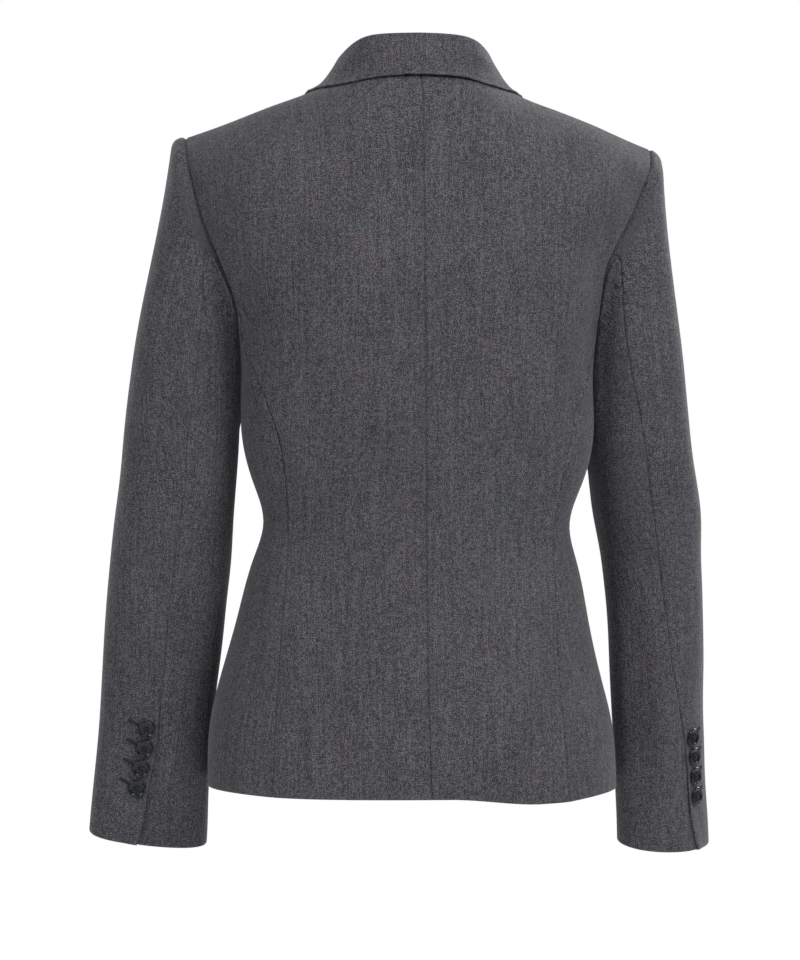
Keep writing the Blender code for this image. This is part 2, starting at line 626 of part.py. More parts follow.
def fold_x(z):
    """The lapel's fold, which is the front's inner edge above the break."""
    way = 1 - z / BREAK_HEIGHT
    return -FRONT_LAP + (NECK_HALF + FRONT_LAP) * way - FOLD_BOW * np.sin(math.pi * way)


def under_lap(x, z):
    """How far the left front lies in under the right one, and lower still under its lapel."""
    layers = 1 + 2 * ease(z, BREAK_HEIGHT - 0.015, BREAK_HEIGHT + 0.010)
    near = (1 - ease(x, 0.022, 0.090)) * (1 - ease(z, BREAK_HEIGHT + 0.065, BREAK_HEIGHT + 0.160))
    return layers * (CLOTH + LAYER_GAP) * near


def front_panel(half):
    back, under, front = ARMHOLE_STEPS
    outer = np.concatenate([half.front_side, half.loop[back + under + 1 :]])
    even_top, top = (line[::-1] for line in half.shoulder_seam(FRONT_COLUMNS))
    even_top = even_top[:, (0, 2)]
    inner_x, inner_z = front_edge_line(LOWER_ROWS, front)
    even_outer = np.stack([half.even(p) for p in outer])
    columns = len(top)
    u = np.linspace(0, 1, columns)
    v = np.linspace(0, 1, len(outer))
    inner = np.stack([inner_x, inner_z], -1)
    bottom_x = even_outer[0, 0] + (inner_x[0] - even_outer[0, 0]) * u
    bottom = np.stack([bottom_x, hem_height(bottom_x)], -1)
    bottom[-1] = inner[0]
    spread = 1 - np.cos(u * math.radians(78))
    spread = spread / spread[-1]
    share = u * v[:, None] ** 2 + spread * (1 - v[:, None] ** 2)
    flat = even_outer[:, None] * (1 - share[..., None]) + inner[:, None] * share[..., None]
    flat += (even_top - flat[-1])[None] * (ease(v, 0.62, 1.0) ** 1.5)[:, None, None]
    flat[..., 1] += (bottom[:, 1] - flat[0, :, 1])[None] * (1 - ease(v, 0, 0.25))[:, None]
    depth = form(flat[..., 0], flat[..., 1], -1)
    if half.side > 0:
        depth = depth + under_lap(flat[..., 0], flat[..., 1])
    grid = settle(np.stack([flat[..., 0], depth, flat[..., 1]], -1), half.side)
    grid = fit_edges(grid, left=outer, reach=0.35)
    grid = fit_edges(grid, top=top, reach=0.12)
    grid[:, 0], grid[-1] = outer, top
    return Piece(f"front_{half.name}", grid, -half.side)


# ---------------------------------------------------------------- sleeves
def sleeve_grid(half):
    """The whole tube, from the armhole down. Row 0 is the armhole's own points."""
    table = SLEEVE[half.name]
    rows_at = spline(table)
    highest, lowest = max(table), min(table)
    steps = len(half.loop) - 1
    back, under, _ = ARMHOLE_STEPS
    radius_at = spline(CROWN_RADIUS)
    lean = math.sin(math.radians(CUFF_LEAN[half.name]))

    def ring(z):
        x, y, wide, deep, turn, pitch, seam = rows_at(np.array(z))
        stops = {0: 0, BACK_SEAM_STEP: seam, back: 143, back + under: 215, INNER_SEAM_STEP: 248,
                 steps: 360}
        angle = np.radians(np.interp(np.arange(steps + 1), list(stops), list(stops.values())))
        turn, pitch = math.radians(turn), math.radians(pitch)
        across, along = wide * np.cos(angle), deep * np.sin(angle)
        out = across * math.cos(turn) + along * math.sin(turn)
        behind = along * math.cos(turn) - across * math.sin(turn)
        points = np.stack([
            x + out,
            y + behind * math.cos(pitch),
            z - along * math.sin(pitch) + across * lean * float(ease(-z, 0.40, 0.60)),
        ], -1)
        return points * (half.side, 1, 1)

    bicep = ring(highest)
    below = ring(highest - 0.012)
    down = unit(below - bicep)
    loop = half.loop
    radius = radius_at(np.arange(steps + 1))
    around = np.arange(steps + 1) / steps
    near_tip = 1 - ease(np.minimum(around, 1 - around), 0.02, 0.20)
    rise = 0.08 + (CROWN_RISE[half.name] - 0.08) * near_tip
    knee = loop + radius * unit(np.stack([half.side + 0 * rise, 0 * rise, rise], -1))
    to_arm = bicep - knee
    after = knee + unit(to_arm) * radius
    crown = [loop]
    for t in (0.35, 0.70, 1.0):
        crown.append((1 - t) ** 2 * loop + 2 * t * (1 - t) * knee + t * t * after)
    length = np.linalg.norm(bicep - after, axis=-1, keepdims=True)
    fall = np.array([0.0, 0.0, -CROWN_FALL[half.name]])
    start_way, end_way = unit(unit(to_arm) + fall) * length, down * length
    for t in np.linspace(0, 1, CROWN_ROWS - 3 + 1)[1:]:
        h = (2 * t**3 - 3 * t**2 + 1, t**3 - 2 * t**2 + t, 3 * t**2 - 2 * t**3, t**3 - t**2)
        crown.append(h[0] * after + h[1] * start_way + h[2] * bicep + h[3] * end_way)
    for z in spaced(highest, lowest, SLEEVE_ROWS)[1:]:
        crown.append(ring(z))
    grid = np.array(crown)
    return clear_of_body(grid, half)


def clear_of_body(grid, half):
    """Holds a sleeve just off the coat's side, where the arm would press it on."""
    x, y, z = np.moveaxis(grid, -1, 0)
    droop = DROOP_AT(z)[..., 0] if half.side < 0 else 0.0
    body = half.side * SWAY_AT(z)[..., 0] + side_x(y, z + droop)
    least = (body + ARM_CLEAR) * ease(-z, 0.205, 0.235) - 1.0 * (z > -0.205)
    hem = ease(z, -0.615, -0.603)
    pressed = np.maximum(half.side * x, least * hem - 1.0 * (1 - hem))
    moved = grid.copy()
    moved[2:, :, 0] = (half.side * pressed)[2:]
    return moved


def sleeve_pieces(half):
    tube = sleeve_grid(half)
    columns = tube.shape[1] - 1
    ring = np.concatenate([tube[:, :-1], tube[:, :-1], tube[:, :1]], 1)
    top = ring[:, INNER_SEAM_STEP : columns + BACK_SEAM_STEP + 1]
    under = tube[:, BACK_SEAM_STEP : INNER_SEAM_STEP + 1]
    pieces = [
        Piece(f"topsleeve_{half.name}", top[::-1], half.side),
        Piece(f"undersleeve_{half.name}", under[::-1], half.side),
    ]
    whole = Piece("tube", np.concatenate([tube[:, -2:-1], tube, tube[:, 1:2]], 1)[::-1], half.side)
    for piece, start in zip(pieces, (INNER_SEAM_STEP, BACK_SEAM_STEP)):
        for j in range(piece.grid.shape[1]):
            piece.out[:, j] = whole.out[:, 1 + (start + j) % columns]
    return pieces


# ---------------------------------------------------------------- collar and lapels
def outer_tree(pieces):
    """The outer faces of some pieces, for others to lie on."""
    points, faces = [], []
    for piece in pieces:
        for face in facets(piece.grid)[1]:
            face = tuple(point + len(points) for point in face)
            faces.append(face if piece.hand > 0 else face[::-1])
        points += [Vector(p) for p in piece.grid.reshape(-1, 3)]
    return BVHTree.FromPolygons(points, faces)


def lay(tree, points, lift=0.0):
    """Points moved along y onto the surface, or to a height over it."""
    laid = np.array(points)
    for index in np.ndindex(laid.shape[:-1]):
        start = Vector(laid[index]) - Vector((0.0, LAY_REACH, 0.0))
        place, normal, _, _ = tree.ray_cast(start, Vector((0.0, 1.0, 0.0)), 2 * LAY_REACH)
        if place is None:
            place, normal, _, _ = tree.find_nearest(Vector(laid[index]))
        laid[index] = place + normal * lift
    return laid


def held_off(tree, points, least):
    """Points pushed out to the least distance off a surface."""
    moved = np.array(points)
    for index in np.ndindex(moved.shape[:-1]):
        place, normal, _, _ = tree.find_nearest(Vector(moved[index]))
        off = (Vector(moved[index]) - place).dot(normal)
        moved[index] += np.array(normal) * max(least - off, 0)
    return moved


def clear_of(piece, others, first_row=0):
    """Raises a piece's points until the corners of what it lies on are clear of its inner face."""
    probes = []
    for other in others:
        for face in other.faces():
            probes += [face, (face[1:] + face[:-1]) / 2, (face[:, 1:] + face[:, :-1]) / 2]
    probes = np.concatenate([probe.reshape(-1, 3) for probe in probes])
    low, high = piece.grid.min((0, 1)) - LAYER_GAP, piece.grid.max((0, 1)) + LAYER_GAP
    probes = probes[((probes > low) & (probes < high)).all(-1)]
    columns = piece.grid.shape[1] - 1
    for _ in range(CLEARING_ROUNDS):
        inner = Piece(piece.name, piece.faces()[1], piece.hand)
        tree = outer_tree([inner])
        push = np.zeros(piece.grid.shape)
        for probe in probes:
            place, normal, face, _ = tree.find_nearest(Vector(probe), 4 * CLOTH)
            if place is None:
                continue
            short = min(LEAST_CLEAR - (place - Vector(probe)).dot(normal), CLEARING_STEP)
            i, j = divmod(face // 2, columns)
            if short > 0 and i >= first_row:
                for spot in ((i, j), (i, j + 1), (i + 1, j), (i + 1, j + 1)):
                    if short > np.linalg.norm(push[spot]):
                        push[spot] = np.array(normal) * short
        piece.grid = piece.grid + push
        if not push.any():
            break


def collar(tree):
    """Stand and fall in one, from gorge to gorge."""
    ways = np.linspace(0, 1, COLLAR_HALF_STEPS + 1)
    half = spline(COLLAR)(ways)
    lines = []
    for start in (0, 3, 6):
        line = half[:, start : start + 3]
        right, left = settle(line, -1), settle(line, 1)
        lines.append(np.concatenate([right[:0:-1], left]))
    ways = np.concatenate([ways[:0:-1], ways])
    aside = np.stack([COLLAR_SET * (1 - ease(ways, 0.6, 0.9)), 0 * ways, 0 * ways], -1)
    seam, fold, edge = (line + aside for line in lines)
    up = unit(fold - seam)
    over = unit(edge - fold - ((edge - fold) * up).sum(-1, keepdims=True) * up)
    inner_foot = fold - up * COLLAR_BEND
    middle = inner_foot + over * COLLAR_BEND
    foot = middle + over * COLLAR_BEND
    share = np.linspace(0, 1, COLLAR_FALL_STEPS + 1)[:, None]
    fall = foot + (edge - foot) * share[..., None]
    dip = COLLAR_HOLLOW * np.sin(math.pi * share) * ease(ways, 0.15, 0.43) * (1 - ease(ways, 0.6, 0.8))
    out = unit(np.cross(np.gradient(fall, axis=1), np.gradient(fall, axis=0)))
    fall -= out * dip[..., None]
    fall[..., 2] -= notch_drop(share) * ease(ways, 0.74, 1.0) ** 1.5
    settled = ease(ways, 0.62, 0.85)[:, None]
    lift = CLOTH + COLLAR_LIFT
    fall = (1 - settled) * held_off(tree, fall, lift) + settled * lay(tree, fall, lift)
    rows = [seam, (seam + inner_foot) / 2]
    for turn in spaced(0, math.pi, 4)[:-1]:
        bend = middle - (over * math.cos(turn) - up * math.sin(turn)) * COLLAR_BEND
        rows.append(bend + (fall[0] - foot) * ease(turn, 0, math.pi))
    return Piece("collar", np.array([*rows, *fall]), 1)


def notch_drop(share):
    """How far the collar's end is drawn down to the lapel, out along it to the notch."""
    sewn = 0.0030 + 0.0205 * share
    return np.where(share <= NOTCH_SHARE, sewn, 0.0135 * (1 - share) / (1 - NOTCH_SHARE))


def lapel(half, front):
    """The facing's turned part: from inside the front's edge, round the fold, out to the edge."""
    rows, columns = LAPEL_GRID
    share = np.linspace(0, 1, rows + 1)
    height = spaced(BREAK_HEIGHT + 0.004, GORGE_HEIGHT, rows)
    fold = np.stack([fold_x(height), height], -1)
    low = fold[0]
    edge = spline({0.0: (low[0] + 0.003, low[1]), 0.35: (0.052, -0.262), 0.70: (0.104, -0.178),
                   1.0: LAPEL_TIP})(share)
    across = np.linspace(0, 1, columns + 1)[:, None, None]
    flat = fold + (edge - fold) * across
    even = np.stack([flat[..., 0], form(flat[..., 0], flat[..., 1], -1), flat[..., 1]], -1)
    surface = lay(outer_tree([front]), settle(even, half.side))
    rim = front.grid[LOWER_ROWS:, -1]
    for axis in (0, 1):
        surface[0, :, axis] = np.interp(surface[0, :, 2], rim[:, 2], rim[:, axis])
    outward = surface[1] - surface[0]
    out = unit(np.cross(np.gradient(surface, axis=0), np.gradient(surface, axis=1)))
    out *= -np.sign(out[..., 1:2])
    away = -unit(outward - (outward * out[0]).sum(-1, keepdims=True) * out[0])
    reach = 1.5 * CLOTH + LAYER_GAP
    centre = surface[0] - out[0] * CLOTH / 2 + away * FOLD_CLEAR
    wrapped = [centre - out[0] * reach - away * ROLL_WRAP]
    for turn in np.radians((-90, -45, 0, 45, 90)):
        wrapped.append(centre + away * reach * math.cos(turn) + out[0] * reach * math.sin(turn))
    lift = CLOTH + LAYER_GAP + LAPEL_RISE * ease(height, -0.150, -0.080)[:, None]
    wrapped += list(surface[1:] + out[1:] * lift)
    return Piece(f"lapel_{half.name}", np.array(wrapped), -half.side)


# ---------------------------------------------------------------- buttons
def button(name, middle, out, radius, colour):
    """A disc with a raised rim, standing off the cloth."""
    out = unit(np.array(out))
    side = unit(np.cross(out, (0.0, 0.0, 1.0)))
    up = np.cross(side, out)
    profile = (
        # share of the radius, share of the thickness
        (0.62, 0.0), (0.92, 0.22), (1.0, 0.55), (0.95, 0.90), (0.86, 1.0), (0.74, 0.82),
    )
    count = 18
    points, faces = [], []
    for share, height in profile:
        for k in range(count):
            turn = 2 * math.pi * k / count
            flat = side * math.cos(turn) + up * math.sin(turn)
            rise = BUTTON_STANDS_OFF + height * BUTTON_THICK
            points.append(middle + flat * share * radius + out * rise)
    for ring in range(len(profile) - 1):
        for k in range(count):
            a, b = ring * count + k, ring * count + (k + 1) % count
            faces.append((a, b, b + count, a + count))
    faces.append(tuple(range(count))[::-1])
    last = (len(profile) - 1) * count
    faces.append(tuple(range(last, last + count)))
    mesh = bpy.data.meshes.new(name)
    mesh.from_pydata([tuple(p) for p in points], [], faces)
    build = bmesh.new()
    build.from_mesh(mesh)
    bmesh.ops.recalc_face_normals(build, faces=build.faces)
    build.to_mesh(mesh)
    build.free()
    mesh.shade_smooth()
    mesh.set_sharp_from_angle(angle=math.radians(35))
    mesh.materials.append(colour)
    thing = bpy.data.objects.new(name, mesh)
    bpy.context.scene.collection.objects.link(thing)
    return thing


def point_on(piece, row, column):
    """A place on a piece's outer face, by its row and column, which may lie between two."""
    i, j = int(min(row, piece.grid.shape[0] - 2)), int(min(column, piece.grid.shape[1] - 2))
    a, b = row - i, column - j
    weights = ((1 - a) * (1 - b), (1 - a) * b, a * (1 - b), a * b)
    spots = ((i, j), (i, j + 1), (i + 1, j), (i + 1, j + 1))
    place = sum(w * piece.grid[s] for w, s in zip(weights, spots))
    return place, unit(sum(w * piece.out[s] for w, s in zip(weights, spots)))


def row_at(line, distance):
    """The row at a distance along a line of points."""
    along = np.concatenate([[0], np.cumsum(np.linalg.norm(np.diff(line, axis=0), axis=1))])
    return float(np.interp(distance, along, np.arange(len(along))))


def cuff_buttons(top, side_name, colour):
    """Along the topsleeve's edge of the vent, from the lowest up."""
    last = top.grid.shape[1] - 1
    for number in range(CUFF_BUTTONS):
        row = row_at(top.grid[:, last], CUFF_BUTTON_LOWEST + CUFF_BUTTON_PITCH * number)
        low, high = top.grid[int(row), last], top.grid[int(row), last - 1]
        column = last - CUFF_BUTTON_IN / np.linalg.norm(high - low)
        place, out = point_on(top, row, column)
        button(f"cuff_button_{side_name}_{number + 1}", place, out, CUFF_BUTTON_RADIUS, colour)


def front_buttons(front, colour):
    """On the right front, which laps over the left, in the middle of the body."""
    tree = outer_tree([front])
    for number, height in FRONT_BUTTONS.items():
        even = np.array([0.0, float(form(0.0, height, -1)), height])
        place = Vector(lay(tree, settle(even, -1)[None])[0])
        button(f"front_button_{number}", np.array(place), tree.find_nearest(place)[1],
               FRONT_BUTTON_RADIUS, colour)


# ---------------------------------------------------------------- the coat
def finish(name, colour, roughness):
    material = bpy.data.materials.new(name)
    material.use_nodes = True
    shader = material.node_tree.nodes["Principled BSDF"]
    shader.inputs["Base Color"].default_value = colour
    shader.inputs["Roughness"].default_value = roughness
    shader.inputs["Metallic"].default_value = 0.0
    material.diffuse_color = colour
    return material


def coat_pieces():
    """Every cloth piece, joined to its neighbours."""
    pieces = {}
    for name in SIDES:
        half = Half(name)
        back, side, front = back_panel(half), side_panel(half), front_panel(half)
        top, under = sleeve_pieces(half)
        join(back, ("right", 0, LOWER_ROWS + 1), side, ("left",))
        join(side, ("right",), front, ("left", 0, LOWER_ROWS + 1))
        join(top, ("right",), under, ("left",))
        join(under, ("right",), top, ("left",))
        join_armhole(back, side, front, top, under)
        for piece in (back, front):
            close_shoulder(piece)
        for piece in (back, side, front, top, under):
            pieces[piece.name] = piece
        pieces[f"lapel_{name}"] = lapel(half, front)
        clear_of(pieces[f"lapel_{name}"], [front])
    join(pieces["back_left"], ("left",), pieces["back_right"], ("left",))
    body = [pieces[f"{part}_{name}"] for part in ("back", "front") for name in SIDES]
    pieces["collar"] = collar(outer_tree(body))
    clear_of(pieces["collar"], body, first_row=pieces["collar"].grid.shape[0] - 1 - COLLAR_FALL_STEPS)
    return pieces


def join_armhole(back, side, front, top, under):
    """Mitres the body's edge round the armhole with the sleeve's, and draws both back."""
    steps_back, steps_under, steps_front = ARMHOLE_STEPS
    steps = steps_back + steps_under + steps_front
    last = back.grid.shape[0] - 1
    members = {step: ([], []) for step in range(steps)}
    for step in range(steps_back + 1):
        members[step][0].append((back, (last - step, back.grid.shape[1] - 1)))
    for step in range(steps_under + 1):
        members[steps_back + step][0].append((side, (LOWER_ROWS, step)))
    for step in range(steps_front + 1):
        place = (steps_back + steps_under + step) % steps
        members[place][0].append((front, (LOWER_ROWS + step, 0)))
    for sleeve, start in ((top, INNER_SEAM_STEP), (under, BACK_SEAM_STEP)):
        for column in range(sleeve.grid.shape[1]):
            place = (start + column) % steps
            members[place][1].append((sleeve, (sleeve.grid.shape[0] - 1, column)))
    for body, sleeve in members.values():
        ways = [unit(sum(piece.out[where] for piece, where in group)) for group in (body, sleeve)]
        both = unit(ways[0] + ways[1])
        for piece, where in body + sleeve:
            piece.stretch[where] = 1 / np.clip(both @ piece.out[where], 0.6, 1)
            piece.out[where] = both
    back.trim("right", back.edge("right", LOWER_ROWS))
    front.trim("left", front.edge("left", LOWER_ROWS))
    for piece in (side, top, under):
        piece.trim("top", piece.edge("top"))


def close_shoulder(piece):
    """Stands the shoulder seam's cut upright on its ridge, and draws it back."""
    where = piece.edge("top")
    line = np.gradient(piece.grid[where], axis=0)
    line *= np.sign(line[:, :1])
    ridge = unit(np.stack([-line[:, 2], 0 * line[:, 0], line[:, 0]], -1))
    for step, spot in enumerate(zip(*where)):
        if abs(piece.grid[spot][0]) > NECK_HALF - 0.001:
            piece.stretch[spot] = 1 / np.clip(ridge[step] @ piece.out[spot], 0.6, 1)
            piece.out[spot] = ridge[step]
    piece.trim("top", where)


def main():
    for thing in list(bpy.data.objects):
        bpy.data.objects.remove(thing, do_unlink=True)
    plastic = finish("button", BUTTON_COLOUR, 0.25)
    pieces = coat_pieces()
    for name, piece in pieces.items():
        outer, inner = piece.faces()
        thing = solid(name, outer, inner, flip=piece.hand < 0)
        thing.data.materials.append(finish(f"cloth_{name}", CLOTH_COLOUR, 0.85))
    for name in SIDES:
        cuff_buttons(pieces[f"topsleeve_{name}"], name, plastic)
    front_buttons(pieces["front_right"], plastic)


main()
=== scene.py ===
"""The looks of a fitted single breasted blazer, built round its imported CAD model.

Metres, +Z up. The front faces -Y, the wearer's left is +X. Every cloth piece is a closed thin
wall: a fine grid for its outer face and the same grid moved in. Its seams are rolled into narrow
grooves, and its free edges are turned.
"""

import json
import math

import bmesh
import bpy
import numpy as np
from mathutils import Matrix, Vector
from mathutils.bvhtree import BVHTree
from mathutils.geometry import delaunay_2d_cdt

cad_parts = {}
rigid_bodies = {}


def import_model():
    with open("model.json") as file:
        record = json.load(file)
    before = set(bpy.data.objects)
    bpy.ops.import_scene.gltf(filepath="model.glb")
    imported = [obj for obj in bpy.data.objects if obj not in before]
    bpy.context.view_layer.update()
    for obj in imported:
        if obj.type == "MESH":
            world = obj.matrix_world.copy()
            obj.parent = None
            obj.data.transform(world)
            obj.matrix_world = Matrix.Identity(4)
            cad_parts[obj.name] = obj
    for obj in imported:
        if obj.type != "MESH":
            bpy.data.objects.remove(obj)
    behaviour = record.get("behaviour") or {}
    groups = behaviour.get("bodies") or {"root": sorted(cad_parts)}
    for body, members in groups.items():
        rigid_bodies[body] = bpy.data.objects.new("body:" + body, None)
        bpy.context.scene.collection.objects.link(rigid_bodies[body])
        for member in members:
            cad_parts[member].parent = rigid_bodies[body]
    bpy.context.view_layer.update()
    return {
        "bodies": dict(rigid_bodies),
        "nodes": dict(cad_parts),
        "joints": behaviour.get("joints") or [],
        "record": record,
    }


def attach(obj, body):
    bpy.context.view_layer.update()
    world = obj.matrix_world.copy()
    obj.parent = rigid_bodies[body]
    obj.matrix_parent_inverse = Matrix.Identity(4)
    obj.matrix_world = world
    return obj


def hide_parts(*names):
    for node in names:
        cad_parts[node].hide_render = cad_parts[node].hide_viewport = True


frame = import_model()

# ---------------------------------------------------------------- driving dimensions
CLOTH = 0.0016  # thickness of the wall: outer cloth and its fusing
SEAM_GAP = 0.0003  # between two pieces at a seam
LAYER_GAP = 0.0009  # between a piece and the one that it lies on
LEAST_CLEAR = 0.0005  # least gap there, at the corners of the facets
LAY_REACH = 0.025  # furthest that a point is moved along y to lie on another piece
CLEARING_ROUNDS = 8
CLEARING_STEP = 0.0010  # furthest that a point is raised in a round
ARM_CLEAR = 0.0002  # between a sleeve and the body of the coat
ARM_PRESS = (0.003, 0.010)  # a sleeve's gap to the body is closed up to here, and left be beyond
ARM_PRESS_FADE = (-0.296, -0.272)  # heights over which that fades, downwards
ARM_DEEPEST = 0.020  # a sleeve's point further inside the body is left be
ARM_BELOW = 0.002  # and so is one this far below the hem
ARM_SEARCH = (0.5, 0.45)  # how far out the search for the body's side starts, and how far it goes

NECK_HALF = 0.078  # from the middle to the neck end of the shoulder seam
NECK_END = 0.001  # the shoulder seam's cut starts this far before there
NECK_BACK_RISE = 0.008  # the back neck seam's middle, above the shoulder seam's neck end
HEM_BACK = -0.6005  # height of the hem at the middle of the back
HEM_SIDE_RISE = 0.0045  # how much higher the hem is at the sides
HEM_LEVEL = -0.6  # height of the section whose width that goes by
SIDE_HEM_BOW = {"left": 0.0020, "right": 0.0050}  # further rise in the middle of a side panel
SLOPE = {1: 0.085, -1: 0.120}  # height over which the shoulder rounds into the back, the front
FRONT_LAP = 0.018  # the front edge, past the middle
BREAK_HEIGHT = -0.335  # where the lapel starts to turn, just above the top button
LAP_WIDE = (0.022, 0.090)  # x over which the left front comes up from under the right one
LAP_STARTS = (-0.015, 0.010)  # above the break: where the lapel's own layers start
LAP_ENDS = (0.065, 0.160)  # above the break: where the fronts part
CORNER_WIDE = 0.055  # the rounded lower corner of the front
CORNER_HIGH = 0.070
LAPEL_RISE = 0.0008  # how much further off the front a lapel lies at its top
FOLD_CLEAR = 0.0006  # between a front's edge and the middle of the lapel's bend round it
FOLD_BOW = 0.004  # how far the lapel's fold bows from straight
ROLL_WRAP = 0.007  # how far a lapel reaches round its fold to the inside
GORGE_HEIGHT = -0.048  # where collar and lapel meet on the fold
NOTCH_SHARE = 0.60  # how far out along the collar's end they are sewn together
NOTCH_DROP = (0.0030, 0.0205, 0.0135)  # at the fold, how much more at the edge, and at the notch
LAPEL_FOOT = (0.003, 0.004)  # x and z from the break to the foot of the lapel's edge
LAPEL_EDGE = {0.35: (0.052, -0.262), 0.70: (0.104, -0.178), 1.0: (0.1310, -0.1080)}  # share: x, z
LAPEL_RISES = (-0.150, -0.080)  # heights over which it comes to lie further off
LAPEL_BEND_STEPS = 12

SIDES = {"left": 1, "right": -1}
# The body's level sections. A section is widest at y_widest, and each half is a superellipse.
BODY = {
    # z: (half_width, y_widest, y_back, y_front, back_power, front_power)
    -0.640: (0.1761, -0.006, 0.1146, -0.1236, 2.30, 2.30),
    -0.600: (0.1749, -0.006, 0.1141, -0.1226, 2.30, 2.30),
    -0.542: (0.1716, -0.005, 0.1126, -0.1206, 2.28, 2.25),
    -0.508: (0.1636, -0.004, 0.1096, -0.1186, 2.26, 2.20),
    -0.456: (0.1504, 0.000, 0.1006, -0.1136, 2.24, 2.15),
    -0.405: (0.1382, 0.002, 0.0901, -0.1096, 2.22, 2.10),
    -0.375: (0.1308, 0.003, 0.0866, -0.1096, 2.20, 2.10),
    -0.337: (0.1416, 0.006, 0.0896, -0.1156, 2.25, 2.10),
    -0.303: (0.1511, 0.010, 0.0951, -0.1226, 2.32, 2.10),
    -0.267: (0.1541, 0.012, 0.1011, -0.1296, 2.40, 2.10),
    -0.235: (0.1553, 0.012, 0.1051, -0.1326, 2.50, 2.15),
    -0.206: (0.1576, 0.012, 0.1076, -0.1306, 2.60, 2.25),
    -0.175: (0.1666, 0.010, 0.1091, -0.1256, 2.70, 2.40),
    -0.145: (0.1826, 0.006, 0.1091, -0.1176, 2.80, 2.50),
    -0.110: (0.1966, 0.002, 0.1066, -0.1076, 2.80, 2.50),
    -0.060: (0.2096, 0.000, 0.1016, -0.0956, 2.80, 2.50),
    0.060: (0.2166, 0.000, 0.0916, -0.0816, 2.80, 2.50),
}

# The top of the shoulders, from the middle of the neck outwards.
RIDGE = {
    # x: (y, z)
    0.000: (0.000, 0.0330),
    0.040: (0.000, 0.0230),
    0.078: (0.000, 0.0000),
    0.120: (-0.001, -0.0170),
    0.160: (-0.002, -0.0325),
    0.198: (-0.003, -0.0455),
    0.230: (-0.003, -0.0550),
}

# The seam between back and side panel, from the hem up to the armhole.
BACK_SIDE_SEAM = {
    # z: x
    -0.640: 0.1270,
    -0.600: 0.1245,
    -0.540: 0.1205,
    -0.477: 0.1165,
    -0.427: 0.1140,
    -0.375: 0.1125,
    -0.344: 0.1160,
    -0.311: 0.1210,
    -0.256: 0.1375,
    -0.230: 0.1460,
    -0.195: 0.1530,
}
# The seam between side panel and front, as a share of the section's half width.
FRONT_SIDE_SHARE = {-0.640: 0.830, -0.600: 0.840, -0.375: 0.880, -0.200: 0.960}

# The armholes, from the shoulder tip down the back, under the arm and up the front.
ARMHOLE = {
    # place: left (x, y, z), right (x, y, z)
    "tip": ((0.1966, -0.003, -0.0455), (0.2022, -0.003, -0.0525)),
    "back_1": ((0.1960, 0.030, -0.0670), (0.1968, 0.029, -0.0755)),
    "back_2": ((0.1906, 0.043, -0.0926), (0.1865, 0.041, -0.0980)),
    "back_3": ((0.1852, 0.049, -0.1140), (0.1770, 0.047, -0.1185)),
    "back_4": ((0.1768, 0.052, -0.1370), (0.1655, 0.051, -0.1390)),
    "back_5": ((0.1690, 0.050, -0.1560), (0.1585, 0.050, -0.1570)),
    "back_6": ((0.1600, 0.043, -0.1780), (0.1550, 0.044, -0.1800)),
    "back_seam": ((0.1545, 0.033, -0.1980), (0.1525, 0.033, -0.2050)),
    "under_1": ((0.1520, 0.014, -0.2140), (0.1510, 0.014, -0.2210)),
    "under_2": ((0.1510, -0.010, -0.2190), (0.1505, -0.010, -0.2260)),
    "front_seam": ((0.1500, -0.038, -0.2080), (0.1500, -0.038, -0.2150)),
    "front_1": ((0.1530, -0.054, -0.1850), (0.1530, -0.054, -0.1920)),
    "front_2": ((0.1585, -0.060, -0.1580), (0.1585, -0.060, -0.1650)),
    "front_3": ((0.1660, -0.058, -0.1270), (0.1660, -0.058, -0.1340)),
    "front_4": ((0.1760, -0.048, -0.0960), (0.1770, -0.048, -0.1030)),
    "front_5": ((0.1880, -0.031, -0.0680), (0.1905, -0.031, -0.0745)),
}

